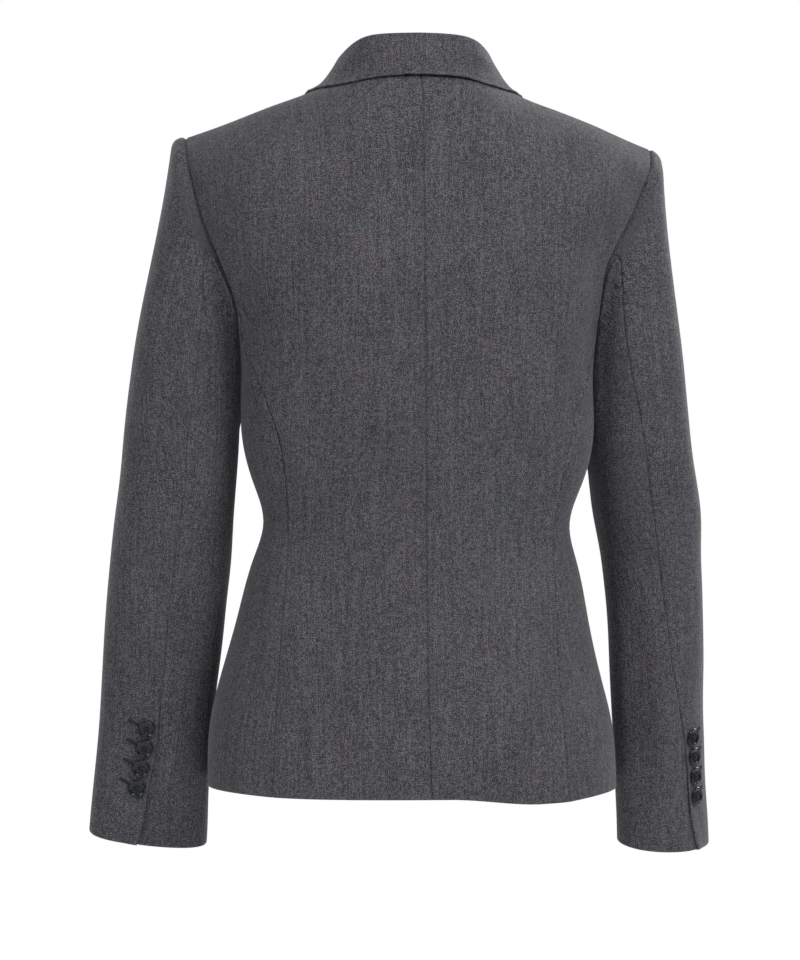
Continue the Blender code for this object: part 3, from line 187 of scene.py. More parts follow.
# The sleeves' sections from the upper arm to the hem. Each is an ellipse, level across the arm,
# turned about the sleeve's axis, and tipped so that its back is lower by the sleeve's pitch.
SLEEVE = {
    "left": {
        # z: (x, y, half_wide, half_deep, turn, pitch, back_seam_angle), angles in degrees
        -0.240: (0.1950, -0.014, 0.0464, 0.0560, 8, 3, 108),
        -0.268: (0.1976, -0.018, 0.0478, 0.0540, 6, 4, 104),
        -0.303: (0.1999, -0.022, 0.0495, 0.0510, 3, 5, 98),
        -0.337: (0.2026, -0.025, 0.0500, 0.0480, 0, 6, 96),
        -0.371: (0.2060, -0.030, 0.0510, 0.0450, 0, 7, 94),
        -0.406: (0.2088, -0.035, 0.0519, 0.0420, 0, 8, 92),
        -0.441: (0.2122, -0.040, 0.0516, 0.0395, 0, 9, 92),
        -0.476: (0.2151, -0.046, 0.0510, 0.0370, 0, 10, 92),
        -0.528: (0.2196, -0.054, 0.0492, 0.0340, 0, 11, 91),
        -0.564: (0.2220, -0.060, 0.0492, 0.0325, 0, 12, 90),
        -0.599: (0.2250, -0.064, 0.0496, 0.0315, 0, 12, 86),
        -0.634: (0.2272, -0.068, 0.0508, 0.0310, 0, 12, 82),
        -0.646: (0.2280, -0.070, 0.0510, 0.0310, 0, 12, 79),
    },
    "right": {
        -0.247: (0.1877, -0.014, 0.0428, 0.0560, 8, 3, 110),
        -0.285: (0.1917, -0.019, 0.0442, 0.0530, 6, 4, 100),
        -0.320: (0.1965, -0.024, 0.0450, 0.0500, 4, 5, 96),
        -0.354: (0.2016, -0.028, 0.0456, 0.0460, 10, 6, 101),
        -0.389: (0.2060, -0.033, 0.0450, 0.0420, 20, 7, 107),
        -0.424: (0.2099, -0.038, 0.0453, 0.0383, 28, 8, 111),
        -0.458: (0.2128, -0.043, 0.0464, 0.0361, 35, 9, 111),
        -0.493: (0.2148, -0.049, 0.0480, 0.0352, 40, 10, 110),
        -0.528: (0.2161, -0.054, 0.0490, 0.0343, 44, 11, 103),
        -0.564: (0.2185, -0.060, 0.0501, 0.0336, 46, 12, 98),
        -0.599: (0.2204, -0.064, 0.0512, 0.0330, 47, 12, 96),
        -0.634: (0.2230, -0.068, 0.0532, 0.0328, 48, 12, 93),
        -0.654: (0.2240, -0.070, 0.0537, 0.0328, 48, 12, 86),
    },
}
CUFF_LEAN = {"left": 6, "right": 2}  # degrees, how much higher the hem's outer side is
CROWN_FALL = {"left": 0.3, "right": 1.2}  # how steeply the sleeve head falls away
CROWN_RISE = {"left": 0.08, "right": -0.40}  # and how it leaves the shoulder at its tip
UNDERARM_RISE = 0.08  # and away from the tip
TIP_REACH = (0.02, 0.20)  # how far from the tip that is, as a share of the armhole
BICEP_STEP = 0.012  # height over which the sleeve's way down is taken
TUBE_TURNS = (143, 215, 248)  # degrees round it: armhole's back and front seams, inner seam
LEAN_COMES = (0.40, 0.60)  # how far down the cuff's lean comes in
CROWN_STEPS = 24
SLEEVE_SQUARE = 0.5  # how much squarer than an ellipse a sleeve's section is
SQUARE_GOES = (10, 25)  # degrees of turn over which that goes
CROWN_RADIUS = {0: 0.0105, 4: 0.0090, 9: 0.0040, 13: 0.0030, 19: 0.0060, 24: 0.0105}

# The collar from the middle of the back to the gorge: seam on the neck, fold, and outer edge.
COLLAR = {
    # way round: (seam_x, seam_y, seam_z, fold_x, fold_y, fold_z, edge_x, edge_y, edge_z)
    0.00: (0.000, 0.0640, 0.0080, 0.0000, 0.0600, 0.0370, 0.0000, 0.0790, 0.0010),
    0.15: (0.030, 0.0585, 0.0068, 0.0285, 0.0555, 0.0366, 0.0350, 0.0722, -0.0004),
    0.30: (0.056, 0.0440, 0.0042, 0.0465, 0.0410, 0.0336, 0.0650, 0.0565, -0.0020),
    0.43: (0.0705, 0.0205, 0.0020, 0.0562, 0.0210, 0.0262, 0.0840, 0.0300, -0.0030),
    0.55: (0.0742, -0.0030, 0.0010, 0.0605, -0.0030, 0.0162, 0.0930, -0.0040, -0.0058),
    0.70: (0.0700, -0.0320, -0.0120, 0.0628, -0.0355, -0.0002, 0.1010, -0.0430, -0.0200),
    0.85: (0.0662, -0.0535, -0.0300, 0.0625, -0.0595, -0.0195, 0.1110, -0.0680, -0.0440),
    1.00: (0.0630, -0.0655, -0.0486, 0.0580, -0.0765, -0.0430, 0.1220, -0.0835, -0.0760),
}
COLLAR_HOLLOW = 0.0028  # how far the fall dips in between fold and edge, over the shoulders
COLLAR_SET = 0.0003  # how far the collar sits to the left
COLLAR_LIFT = 0.0004  # least distance of the collar's fall off the shoulders
COLLAR_UNEVEN = 0.0012  # how much higher the edge is on the right
COLLAR_BEND = 0.0033  # radius of the collar's fold
# Where a feature of the collar comes or goes, from the middle of the back, 0, to the gorge, 1
SET_GOES, UNEVEN_COMES, UNEVEN_GOES = (0.6, 0.9), (0.05, 0.28), (0.55, 0.75)
HOLLOW_COMES, HOLLOW_GOES, NOTCH_COMES = (0.15, 0.43), (0.6, 0.8), (0.74, 1.0)
NOTCH_POWER = 1.5  # above 1 the notch comes in later
LAPEL_SIDE = (0.62, 0.85)  # from here it lies on the front as the lapel does
PULL_COMES, PULL_DOWN = (0.06, 0.3), (0.3, 1.0)  # drawn in to the shoulders: round it, and down it

# Soft folds in the cloth: a trough (minus) or a ridge (plus) along a line on a piece, which is
# seen from behind (face 1) or in front (face -1).
FOLDS = (
    # piece, start_x, start_z, end_x, end_z, half_width, height, face
    ("back_left", 0.160, -0.110, 0.150, -0.215, 0.012, -0.0022, 1),
    ("back_left", 0.112, -0.100, 0.103, -0.335, 0.026, -0.0036, 1),
    ("back_left", 0.030, -0.450, 0.052, -0.575, 0.026, -0.0010, 1),
    ("side_left", 0.139, -0.421, 0.141, -0.545, 0.005, -0.0010, 1),
    ("back_right", 0.152, -0.095, 0.146, -0.200, 0.011, -0.0024, 1),
    ("back_right", 0.1116, -0.100, 0.108, -0.140, 0.008, -0.0014, 1),
    ("back_right", 0.100, -0.185, 0.096, -0.250, 0.008, -0.0014, 1),
    ("back_right", 0.022, -0.440, 0.078, -0.508, 0.013, -0.0016, 1),
    ("back_right", 0.058, -0.440, 0.078, -0.600, 0.032, 0.0044, 1),
    ("back_right", 0.089, -0.525, 0.090, -0.592, 0.007, -0.0014, 1),
    ("undersleeve_left", 0.174, -0.125, 0.162, -0.172, 0.007, -0.0040, 1),
    ("undersleeve_left", 0.2215, -0.532, 0.2311, -0.613, 0.009, -0.0016, 1),
    ("undersleeve_left", 0.2311, -0.613, 0.2385, -0.651, 0.009, -0.0022, 1),
    ("topsleeve_left", 0.213, -0.115, 0.211, -0.300, 0.008, -0.0012, 1),
    ("topsleeve_left", 0.179, -0.126, 0.165, -0.176, 0.006, -0.0030, 1),
    ("undersleeve_right", 0.190, -0.415, 0.197, -0.630, 0.015, -0.0050, 1),
    ("undersleeve_right", 0.214, -0.500, 0.225, -0.645, 0.011, 0.0026, 1),
    ("undersleeve_right", 0.176, -0.431, 0.190, -0.480, 0.006, -0.0014, 1),
    ("front_left", 0.050, -0.352, 0.128, -0.335, 0.011, -0.0014, -1),
    ("front_right", 0.045, -0.350, 0.122, -0.338, 0.010, -0.0016, -1),
    ("front_left", 0.104, -0.235, 0.092, -0.325, 0.015, -0.0016, -1),
    ("front_right", 0.098, -0.245, 0.090, -0.318, 0.013, -0.0014, -1),
    ("front_left", 0.060, -0.455, 0.082, -0.580, 0.022, -0.0016, -1),
    ("front_right", 0.058, -0.470, 0.075, -0.585, 0.020, -0.0018, -1),
    ("topsleeve_left", 0.176, -0.336, 0.212, -0.352, 0.007, -0.0020, -1),
    ("topsleeve_left", 0.180, -0.372, 0.214, -0.378, 0.008, -0.0016, -1),
    ("topsleeve_right", 0.174, -0.342, 0.208, -0.362, 0.008, -0.0018, -1),
    ("topsleeve_right", 0.182, -0.385, 0.214, -0.388, 0.007, -0.0015, -1),
)
FOLD_ENDS = 0.3  # a fold's depth at its ends, against its middle
FOLD_FACING = (0.0, 0.35)  # it fades where the cloth turns away from the side it is seen from
FOLD_FADE = (0.001, 0.014)  # and this near to a fixed seam

# Fine grids: each count is a multiple of the CAD model's.
BACK_COLUMNS = (20, 28)  # along the neck, along the shoulder
FRONT_COLUMNS = 44
LOWER_ROWS = 70  # from the hem to the armhole
CORNER_ROWS = 30  # of them round the front's lower corner
ARMHOLE_STEPS = (36, 16, 44)  # back, under the arm, front
BACK_SEAM_STEP = 24  # where the armhole's points go round a sleeve
INNER_SEAM_STEP = 60
BEND_ROWS = 8
CROWN_ROWS = 16
SLEEVE_ROWS = 84
LAPEL_GRID = (72, 24)
FOLD_STEPS = 200  # for measuring along the lapel's fold
COLLAR_HALF_STEPS = 56
COLLAR_FALL_STEPS = 20
COLLAR_BEND_STEPS = 10

# How far the shape of an edge reaches into a panel, as a share of its rows or columns
HEM_REACH = 0.25
SIDE_BOW_REACH = 0.30
TOP_REACH, TOP_POWER = (0.62, 1.0), 1.5
TOP_FIT = {"shoulder": 0.12, "armhole": 0.35}  # how far the last correction goes down from there
SIDE_REACH = {"back": 0.30, "front": 0.35, "side": 0.6}  # and in from a seam at the side
SEAM_MEETS = (0.7, 1.0)  # where a side seam is drawn to the armhole, as a share of its height
TIP_MEETS = (0.3, 1.0)  # and the shoulder seam to the tip
SPREAD_TURN = {"back": 75, "front": 78}  # degrees: how unevenly the columns are spread at the hem
FACES = {"back": 1, "front": -1}

# Seams and edges
EDGE_LINES = (0.00025, 0.0006, 0.0011, 0.0018, 0.0028)  # grid lines set in, from an edge
GROOVE_WIDE = 0.0024  # half the width of a seam's groove
SEAM_GROOVE = 0.0012
SLEEVE_GROOVE = {"left": 0.0005, "right": 0.0014}  # at the sleeves' back seams
SEAM_CLOSE = 0.0004  # how far a seam's inner faces reach across it
ARMHOLE_GROOVE = 0.0016
UNDERARM_GROOVE = 0.0006
TURN_SHARE = 0.8  # how far a turned edge is rounded
HEM_TURN_UP = 0.035
HEM_DOUBLE = 1.7  # the hem's wall against the plain one
EDGE_WEAR = 0.004  # how far in from a turned edge the nap is worn

VENT_LONG = 0.116
VENT_FADE = 0.020
VENT_LIFT = 0.0021
VENT_TAPER = 0.55  # how much less it is lifted at the vent's top
VENT_WIDE = 0.014
VENT_SINK = 0.0008  # how far the undersleeve's edge lies in under it
VENT_SINK_WIDE = 0.010
UNDERLAP_STEPS = 5
UNDERLAP_STEP = 0.003
UNDERLAP_GAP = 0.0004

CUFF_BUTTONS = 4
CUFF_BUTTON_RADIUS = 0.0079
CUFF_BUTTON_PITCH = 0.0177
CUFF_BUTTON_LOWEST = 0.0501  # above the sleeve's hem
CUFF_BUTTON_IN = 0.0097  # from the vent's edge to the button's middle
CUFF_HOLE_LONG = 0.0165
CUFF_HOLE_TILT = 22  # degrees that a cuff's buttonhole rises, away from the edge
FRONT_BUTTON_RADIUS = 0.0100
FRONT_BUTTONS = {1: -0.352, 2: -0.440}  # heights
FRONT_HOLE_LONG = 0.0225
BUTTON_THICK = 0.0026
BUTTON_STANDS_OFF = 0.0008
HOLE_CORD = 0.0007  # radius of the stitched rim of a buttonhole
HOLE_SINK = 0.25  # how far that is off the cloth, in its radius
HOLE_SLIT = 1.06  # half the slit's width, in its radius
HOLE_EYE = 0.0016  # radius of its eyelet
HOLE_STEP = 0.0002  # from point to point of its slit
HOLE_EYE_POINTS, HOLE_END_POINTS = 40, 9
HOLE_SEARCH = (0.006, 0.02)  # how far over the cloth the search for it starts, and how far it goes
STITCH_PITCH, STITCH_BUMP = 0.0007, 0.16  # from stitch to stitch, and how thick they make it
THREAD = 0.00027  # radius of a button's thread
THREAD_APART = 0.00024  # from the middle of an eye to each of its two strands
THREAD_RISE = (0.0001, 0.00042)  # over the dish's floor: at the eyes, and how much more between
THREAD_FOOT = -0.0004  # height of its ends, in the cloth
ARCH_POINTS, ARCH_POWER = 15, 0.6  # a power below 1 makes the arch flatter on top
DISH_FLOOR = 0.665  # in the button's thickness
TUBE_SIDES = 8
TUBE_SIDE = (0.31, 0.87, 0.38)  # a direction that no cord runs in

CAMERA_AWAY = 3.0
CAMERA_TURN = 4.5  # degrees to the wearer's left of straight behind
CAMERA_HEIGHT = -0.337
CAMERA_LENS, CAMERA_SENSOR = 131.6, 36  # mm
CAMERA_CLIP = (0.05, 50)
CAMERA_ASIDE = 0.01368  # how far the camera stands to its right, so that the coat sits left of it
FLOOR_HEIGHT = -1.45


# ---------------------------------------------------------------- curves
def spline(table):
    """The smooth curve (a natural cubic) through a table's rows, as a function."""
    knots = np.array(sorted(table), float)
    values = np.array([np.atleast_1d(table[k]) for k in sorted(table)], float)
    gaps, count = np.diff(knots), len(knots)
    slopes = np.diff(values, axis=0) / gaps[:, None]
    system, right = np.eye(count), np.zeros_like(values)
    for i in range(1, count - 1):
        system[i, i - 1 : i + 2] = gaps[i - 1], 2 * (gaps[i - 1] + gaps[i]), gaps[i]
        right[i] = 6 * (slopes[i] - slopes[i - 1])
    bends = np.linalg.solve(system, right)

    def at(x):
        x = np.asarray(x, float)
        i = np.clip(np.searchsorted(knots, x) - 1, 0, count - 2)
        gap = gaps[i][..., None]
        after = (x[..., None] - knots[i][..., None]) / gap
        before = 1 - after
        bow = (before**3 - before) * bends[i] + (after**3 - after) * bends[i + 1]
        return before * values[i] + after * values[i + 1] + bow * gap**2 / 6

    return at


def lengths(line):
    """How far along a line of points each point is. Lines run down the first axis."""
    steps = np.linalg.norm(np.diff(line, axis=0), axis=-1)
    return np.concatenate([np.zeros((1,) + steps.shape[1:]), np.cumsum(steps, axis=0)])


def curve_through(points):
    """A smooth curve through points, by its length from 0 to 1, and where the points are."""
    points = np.array(points, float)
    along = lengths(points)
    return spline(dict(zip(along / along[-1], map(tuple, points)))), along / along[-1]


def ease(x, start, end):
    """0 before start, 1 after end, and smooth between them."""
    t = np.clip((np.asarray(x, float) - start) / (end - start), 0, 1)
    return t * t * (3 - 2 * t)


def unit(v):
    return v / np.maximum(np.linalg.norm(v, axis=-1, keepdims=True), 1e-12)


def level(way, out):
    """The part of a direction that is square to another."""
    return way - (way * out).sum(-1, keepdims=True) * out


# ---------------------------------------------------------------- the body's form
BODY_AT = spline(BODY)
RIDGE_AT = spline(RIDGE)
BACK_SIDE_AT = spline(BACK_SIDE_SEAM)
FRONT_SIDE_AT = spline(FRONT_SIDE_SHARE)
# How the filled coat hangs off true: the hip sways to the left, the middle seam wanders, and the
# right shoulder is lower.
SWAY_AT = spline({-0.64: 0.0030, -0.60: 0.0030, -0.54: 0.0040, -0.50: 0.0042, -0.44: 0.0024,
                  -0.39: 0.0006, -0.36: -0.0008, -0.30: -0.0015, -0.20: -0.0008, 0.06: 0.0})
WANDER_AT = spline({-0.64: -0.0066, -0.60: -0.0064, -0.51: -0.0055, -0.42: -0.0030, -0.34: 0.0,
                    -0.2: 0.0020, 0.06: 0.0018})
WANDER_WIDE = 0.13  # how far out from it the middle seam takes the cloth along
DROOP_X = (0.015, 0.100), (0.150, 0.205)  # where, going out, the two droops come in
DROOP_AT = spline({
    # z: (droop of the whole side, further droop of its outer edge)
    -0.64: (0.0055, 0.0), -0.60: (0.0055, 0.0), -0.375: (0.0040, 0.0), -0.20: (0.0040, 0.0030),
    -0.05: (0.0035, 0.0035), 0.06: (0.0035, 0.0035)})


def section(z, behind=None, y=None):
    """A level section's half width, the y where it is widest, and whether the half in question is
    behind that, with the half's depth and power. Without behind, a point's y says which half."""
    width, middle, back, front, back_power, front_power = np.moveaxis(BODY_AT(z), -1, 0)
    behind = y >= middle if behind is None else behind
    depth = np.where(behind, back - middle, middle - front)
    return width, middle, behind, depth, np.where(behind, back_power, front_power)


def form(x, z, face):
    """The coat's outer face at x, z, on its back (face 1) or its front (face -1)."""
    x, z = np.abs(np.asarray(x, float)), np.asarray(z, float)
    width, middle, _, depth, power = section(z, face > 0)
    round_off = np.clip(1 - np.clip(x / width, 0, 1) ** power, 0, 1) ** (1 / power)
    ridge_y, ridge_z = np.moveaxis(RIDGE_AT(x), -1, 0)
    down = np.clip((ridge_z - z) / SLOPE[face], 0, 1)
    share = np.sqrt(1 - (1 - down) ** 2)
    return ridge_y + (middle + face * depth * round_off - ridge_y) * share


def section_point(angle, z):
    """A point of a level section below the arms: 0 is the back's middle, 90 the side, 180 front."""
    turn = np.radians(angle)
    width, middle, _, depth, power = section(z, turn <= math.pi / 2)
    x = width * np.abs(np.sin(turn)) ** (2 / power)
    y = middle + depth * np.sign(np.cos(turn)) * np.abs(np.cos(turn)) ** (2 / power)
    return np.stack([x, y, z], -1)


def angle_of(x, y, z):
    """The angle round its section of a point of the coat's side."""
    width, middle, behind, depth, power = section(z, y=y)
    across = np.clip(x / width, 0, 1.2) ** (power / 2)
    along = np.clip(np.abs(y - middle) / depth, 0, 1) ** (power / 2)
    angle = np.degrees(np.arctan2(across, along))
    return np.where(behind, angle, 180 - angle)


def settle(points, side):
    """Carries points of the even left half to where they hang on a side."""
    x, y, z = np.moveaxis(np.asarray(points, float), -1, 0)
    near_middle = 1 - ease(np.abs(x), 0, WANDER_WIDE)
    moved = side * x + SWAY_AT(z)[..., 0] + WANDER_AT(z)[..., 0] * near_middle
    return np.stack([moved, y, z - (droop(x, z) if side < 0 else 0.0)], -1)


def droop(x, z):
    """How much lower the right side hangs, at a point of the even half."""
    whole, edge = np.moveaxis(DROOP_AT(z), -1, 0)
    return whole * ease(x, *DROOP_X[0]) + edge * ease(x, *DROOP_X[1])


def hem_height(x):
    return HEM_BACK + HEM_SIDE_RISE * (np.abs(x) / BODY_AT(HEM_LEVEL)[0]) ** 6


# ---------------------------------------------------------------- grids
def coons(bottom, top, left, right, u, v):
    """The grid between four edges. Rows run from bottom to top, columns from left to right."""
    u, v = u[None, :, None], v[:, None, None]
    across = (1 - u) * left[:, None] + u * right[:, None]
    up = (1 - v) * bottom[None] + v * top[None]
    corners = (1 - u) * (1 - v) * bottom[0] + u * (1 - v) * bottom[-1]
    corners = corners + (1 - u) * v * top[0] + u * v * top[-1]
    return across + up - corners


def fit_edge(grid, edge, axis, last, reach):
    """Moves a grid onto its first (0) or last (-1) row or column, and the rest less and less."""
    far = np.linspace(0, 1, grid.shape[axis])
    fade = 1 - ease(1 - far if last else far, 0, reach)
    gap = np.expand_dims(edge - grid.take(last, axis), axis)
    return grid + gap * (fade[:, None] if axis else fade[:, None, None])


def spaced(start, end, steps):
    return start + (end - start) * np.linspace(0, 1, steps + 1)


class Piece:
    """A cloth piece: the grid of its outer face, and the way out at each point.

    With hand 1 its columns run to the right of its rows, seen from outside, with -1 to the left.
    """

    def __init__(self, name, grid, hand, fixed=None):
        self.name, self.grid, self.hand = name, grid, hand
        self.fold(fixed)
        self.out = self.way_out()
        self.stretch = np.ones(self.grid.shape[:2])
        self.shift = np.zeros_like(self.grid)

    def way_out(self):
        across, along = np.gradient(self.grid, axis=1), np.gradient(self.grid, axis=0)
        return unit(np.cross(across, along) * self.hand)

    def fold(self, fixed):
        """Presses the soft folds into the grid, and leaves it be along the fixed seams."""
        out, press = self.way_out(), np.zeros(self.grid.shape[:2])
        flat = np.stack([np.abs(self.grid[..., 0]), self.grid[..., 2]], -1)
        for name, x0, z0, x1, z1, half_width, height, face in FOLDS:
            if name == self.name:
                start, run = np.array([x0, z0]), np.array([x1 - x0, z1 - z0])
                near = np.clip((flat - start) @ run / (run @ run), 0, 1)
                off = np.linalg.norm(flat - start - near[..., None] * run, axis=-1) / half_width
                depth = FOLD_ENDS + (1 - FOLD_ENDS) * np.sin(np.pi * near)
                press += height * np.exp(-(off**2)) * depth * ease(out[..., 1] * face, *FOLD_FACING)
        if press.any() and fixed is not None:
            far = np.linalg.norm(self.grid[:, :, None] - fixed[None, None], axis=-1).min(-1)
            press = press * ease(far, *FOLD_FADE)
        self.grid = self.grid + out * press[..., None]

    def edge(self, which, start=0, stop=None):
        """The rows and the columns of an edge's points."""
        rows, columns = self.grid.shape[:2]
        spots = np.arange(rows if which in ("left", "right") else columns)[start:stop]
        still = 0 * spots
        return {"left": (spots, still), "right": (spots, still + columns - 1),
                "bottom": (still, spots), "top": (still + rows - 1, spots)}[which]

    def trim(self, which, where):
        """Draws an edge back from its seam."""
        inward = {"left": (0, 1), "right": (0, -1), "bottom": (1, 0), "top": (-1, 0)}[which]
        out, line = self.out[where], np.gradient(self.grid[where], axis=0)
        way = self.grid[where[0] + inward[0], where[1] + inward[1]] - self.grid[where]
        way = level(level(way, out), unit(level(line, out)))
        self.shift[where] += unit(way) * SEAM_GAP / 2

    def mitre(self, where, way):
        """Turns the wall's cut at some points to a way, and keeps the wall as thick."""
        self.stretch[where] = 1 / np.clip((way * self.out[where]).sum(-1), 0.6, 1)
        self.out[where] = way

    def faces(self):
        """The outer and the inner face."""
        outer = self.grid + self.shift
        return outer, outer - self.out * (CLOTH * self.stretch)[..., None]


def join(one, one_edge, other, other_edge):
    """Mitres two pieces along the points that they share, and trims both back."""
    here, there = one.edge(*one_edge), other.edge(*other_edge)
    both = unit(one.out[here] + other.out[there])
    for piece, where, which in ((one, here, one_edge[0]), (other, there, other_edge[0])):
        piece.mitre(where, both)
        piece.trim(which, where)


# ---------------------------------------------------------------- seams that panels share
class Half:
    """The seams of one half of the coat, where they hang."""

    def __init__(self, name):
        self.name, self.side = name, SIDES[name]
        places, points = list(ARMHOLE), [pair[self.side < 0] for pair in ARMHOLE.values()]
        loop, knots = curve_through(points + points[:1])
        at_back, at_front = knots[places.index("back_seam")], knots[places.index("front_seam")]
        back, under, front = ARMHOLE_STEPS
        ways = np.concatenate([
            np.linspace(0, at_back, back + 1),
            np.linspace(at_back, at_front, under + 1)[1:],
            np.linspace(at_front, 1, front + 1)[1:],
        ])
        self.loop = loop(ways) * (self.side, 1, 1)
        self.back_side = self.lower_seam(self.loop[back], 1)
        self.front_side = self.lower_seam(self.loop[back + under], -1)
        x = NECK_HALF * np.sin(np.linspace(0, math.pi / 2, BACK_COLUMNS[0] + 1))
        z = NECK_BACK_RISE * (1 - (x / NECK_HALF) ** 2)
        y = form(x, z, 1)
        y[-1] = RIDGE_AT(NECK_HALF)[0]
        self.even_neck = np.stack([x, y, z], -1)
        self.neck = settle(self.even_neck, self.side)

    def fixed(self):
        """The seams that folds leave be: armhole, shoulder and neck."""
        shoulder = self.shoulder_seam(BACK_COLUMNS[1])[1]
        return np.concatenate([self.loop, shoulder, self.neck])[::2]

    def even(self, points):
        """Their x and z on the even left half."""
        return np.stack([np.abs(points[:, 0] - SWAY_AT(points[:, 2])[:, 0]), points[:, 2]], -1)

    def lower_seam(self, top, face):
        """From the hem up to the armhole, behind (face 1) or before (face -1) the side."""
        z, share = spaced(HEM_BACK, top[2], LOWER_ROWS), np.linspace(0, 1, LOWER_ROWS + 1)
        x = BACK_SIDE_AT(z)[:, 0] if face > 0 else FRONT_SIDE_AT(z)[:, 0] * BODY_AT(z)[:, 0]
        z = z + (hem_height(x) - HEM_BACK) * (1 - share)
        line = settle(np.stack([x, form(x, z, face), z], -1), self.side)
        return line + (top - line[-1]) * ease(share, *SEAM_MEETS)[:, None]

    def shoulder_seam(self, steps):
        """From the neck out to the tip: on the even half, and where it hangs."""
        x = spaced(NECK_HALF, abs(self.loop[0][0]), steps)
        even = np.stack([x, *np.moveaxis(RIDGE_AT(x), -1, 0)], -1)
        line = settle(even, self.side)
        share = ease(np.linspace(0, 1, steps + 1), *TIP_MEETS)[:, None]
        return even, line + (self.loop[0] - line[-1]) * share


def spread_rows(first, last, top, hem, share, spread):
    """The even x and z of a panel's grid, between the lines of its first and its last column. The
    columns go by one spacing, share, at the top, and by another, spread, at the hem."""
    v = np.linspace(0, 1, len(first))[:, None, None]
    share = share[:, None] * v**2 + spread[:, None] * (1 - v**2)
    flat = first[:, None] * (1 - share) + last[:, None] * share
    flat += (top - flat[-1]) * ease(v, *TOP_REACH) ** TOP_POWER
    return flat + (hem - flat[0]) * (1 - ease(v, 0, HEM_REACH))


def curved(half, part, flat, outer, top, column, sunk=0.0):
    """The back or front piece: the grid curved round the body, and settled between its seams."""
    x, z = np.moveaxis(flat, -1, 0)
    grid = settle(np.stack([x, form(x, z, FACES[part]) + sunk, z], -1), half.side)
    grid = fit_edge(grid, outer, 1, column, SIDE_REACH[part])
    grid = fit_edge(grid, top, 0, -1, TOP_FIT["shoulder"])
    grid[:, column], grid[-1] = outer, top
    return Piece(f"{part}_{half.name}", grid, -half.side, half.fixed())


def back_panel(half):
    outer = np.concatenate([half.back_side, half.loop[: ARMHOLE_STEPS[0]][::-1]])
    even_shoulder, shoulder = half.shoulder_seam(BACK_COLUMNS[1])
    top = np.concatenate([half.neck, shoulder[1:]])
    even_top = np.concatenate([half.even_neck, even_shoulder[1:]])[:, (0, 2)]
    low = outer[LOWER_ROWS, 2]
    rise = (outer[LOWER_ROWS:, 2] - low) / (outer[-1, 2] - low)
    middle = np.append(spaced(HEM_BACK, low, LOWER_ROWS), low + (NECK_BACK_RISE - low) * rise[1:])
    even_outer = half.even(outer)
    turn = math.radians(SPREAD_TURN["back"])
    spread = np.sin(np.linspace(0, 1, len(top)) * turn) / math.sin(turn)
    hem_x = spread * even_outer[0, 0]
    flat = spread_rows(np.stack([0 * middle, middle], -1), even_outer, even_top,
                       np.stack([hem_x, hem_height(hem_x)], -1),
                       even_top[:, 0] / even_top[-1, 0], spread)
    return curved(half, "back", flat, outer, top, -1)


def side_panel(half):
    back, under, _ = ARMHOLE_STEPS
    left, right, top = edges = half.back_side, half.front_side, half.loop[back : back + under + 1]
    angles = []
    for line in edges:
        x, z = half.even(line).T
        angles.append(np.stack([angle_of(x, line[:, 1], z), z], -1))
    u, v = np.linspace(0, 1, under + 1), np.linspace(0, 1, LOWER_ROWS + 1)
    bottom = angles[0][0] + (angles[1][0] - angles[0][0]) * u[:, None]
    flat = coons(bottom, angles[2], angles[0], angles[1], u, v)
    bow = SIDE_HEM_BOW[half.name] * 4 * u * (1 - u)
    flat[..., 1] += bow * (1 - ease(v, 0, SIDE_BOW_REACH))[:, None]
    grid = section_point(flat[..., 0], flat[..., 1])
    grid = settle(grid, 1) if half.side > 0 else settle_right(grid)
    grid = fit_edge(grid, left, 1, 0, SIDE_REACH["side"])
    grid = fit_edge(grid, right, 1, -1, SIDE_REACH["side"])
    grid = fit_edge(grid, top, 0, -1, TOP_FIT["armhole"])
    grid[:, 0], grid[:, -1], grid[-1] = edges
    return Piece(f"side_{half.name}", grid, -half.side, half.fixed())


def settle_right(grid):
    """The right half's settling, for points whose height already has its droop in it."""
    x, y, z = np.moveaxis(grid, -1, 0)
    return np.stack([-x + SWAY_AT(z)[..., 0], y, z], -1)


def front_edge_line(rows_above):
    """x and z of a front's inner edge: the rounded corner, the straight edge, the lapel's fold."""
    turn = np.linspace(0, math.pi / 2, CORNER_ROWS + 1)
    arc_x = CORNER_WIDE - FRONT_LAP - CORNER_WIDE * np.sin(turn)
    arc_z = HEM_BACK + CORNER_HIGH * (1 - np.cos(turn))
    straight = spaced(arc_z[-1], BREAK_HEIGHT, LOWER_ROWS - CORNER_ROWS)[1:]
    fine = spaced(BREAK_HEIGHT, 0, FOLD_STEPS)
    along = lengths(np.stack([fold_x(fine), form(fold_x(fine), fine, -1), fine], -1))
    above = np.interp(spaced(0, along[-1], rows_above)[1:], along, fine)
    x = np.concatenate([arc_x, 0 * straight - FRONT_LAP, fold_x(above)])
    return np.stack([x, np.concatenate([arc_z, straight, above])], -1)


def fold_x(z):
    """The lapel's fold, which is the front's inner edge above the break."""
    way = 1 - z / BREAK_HEIGHT
    return -FRONT_LAP + (NECK_HALF + FRONT_LAP) * way - FOLD_BOW * np.sin(math.pi * way)


def under_lap(x, z):
    """How far the left front lies in under the right one, and lower still under its lapel."""
    above = z - BREAK_HEIGHT
    layers = 1 + 2 * ease(above, *LAP_STARTS)
    return layers * (CLOTH + LAYER_GAP) * (1 - ease(x, *LAP_WIDE)) * (1 - ease(above, *LAP_ENDS))


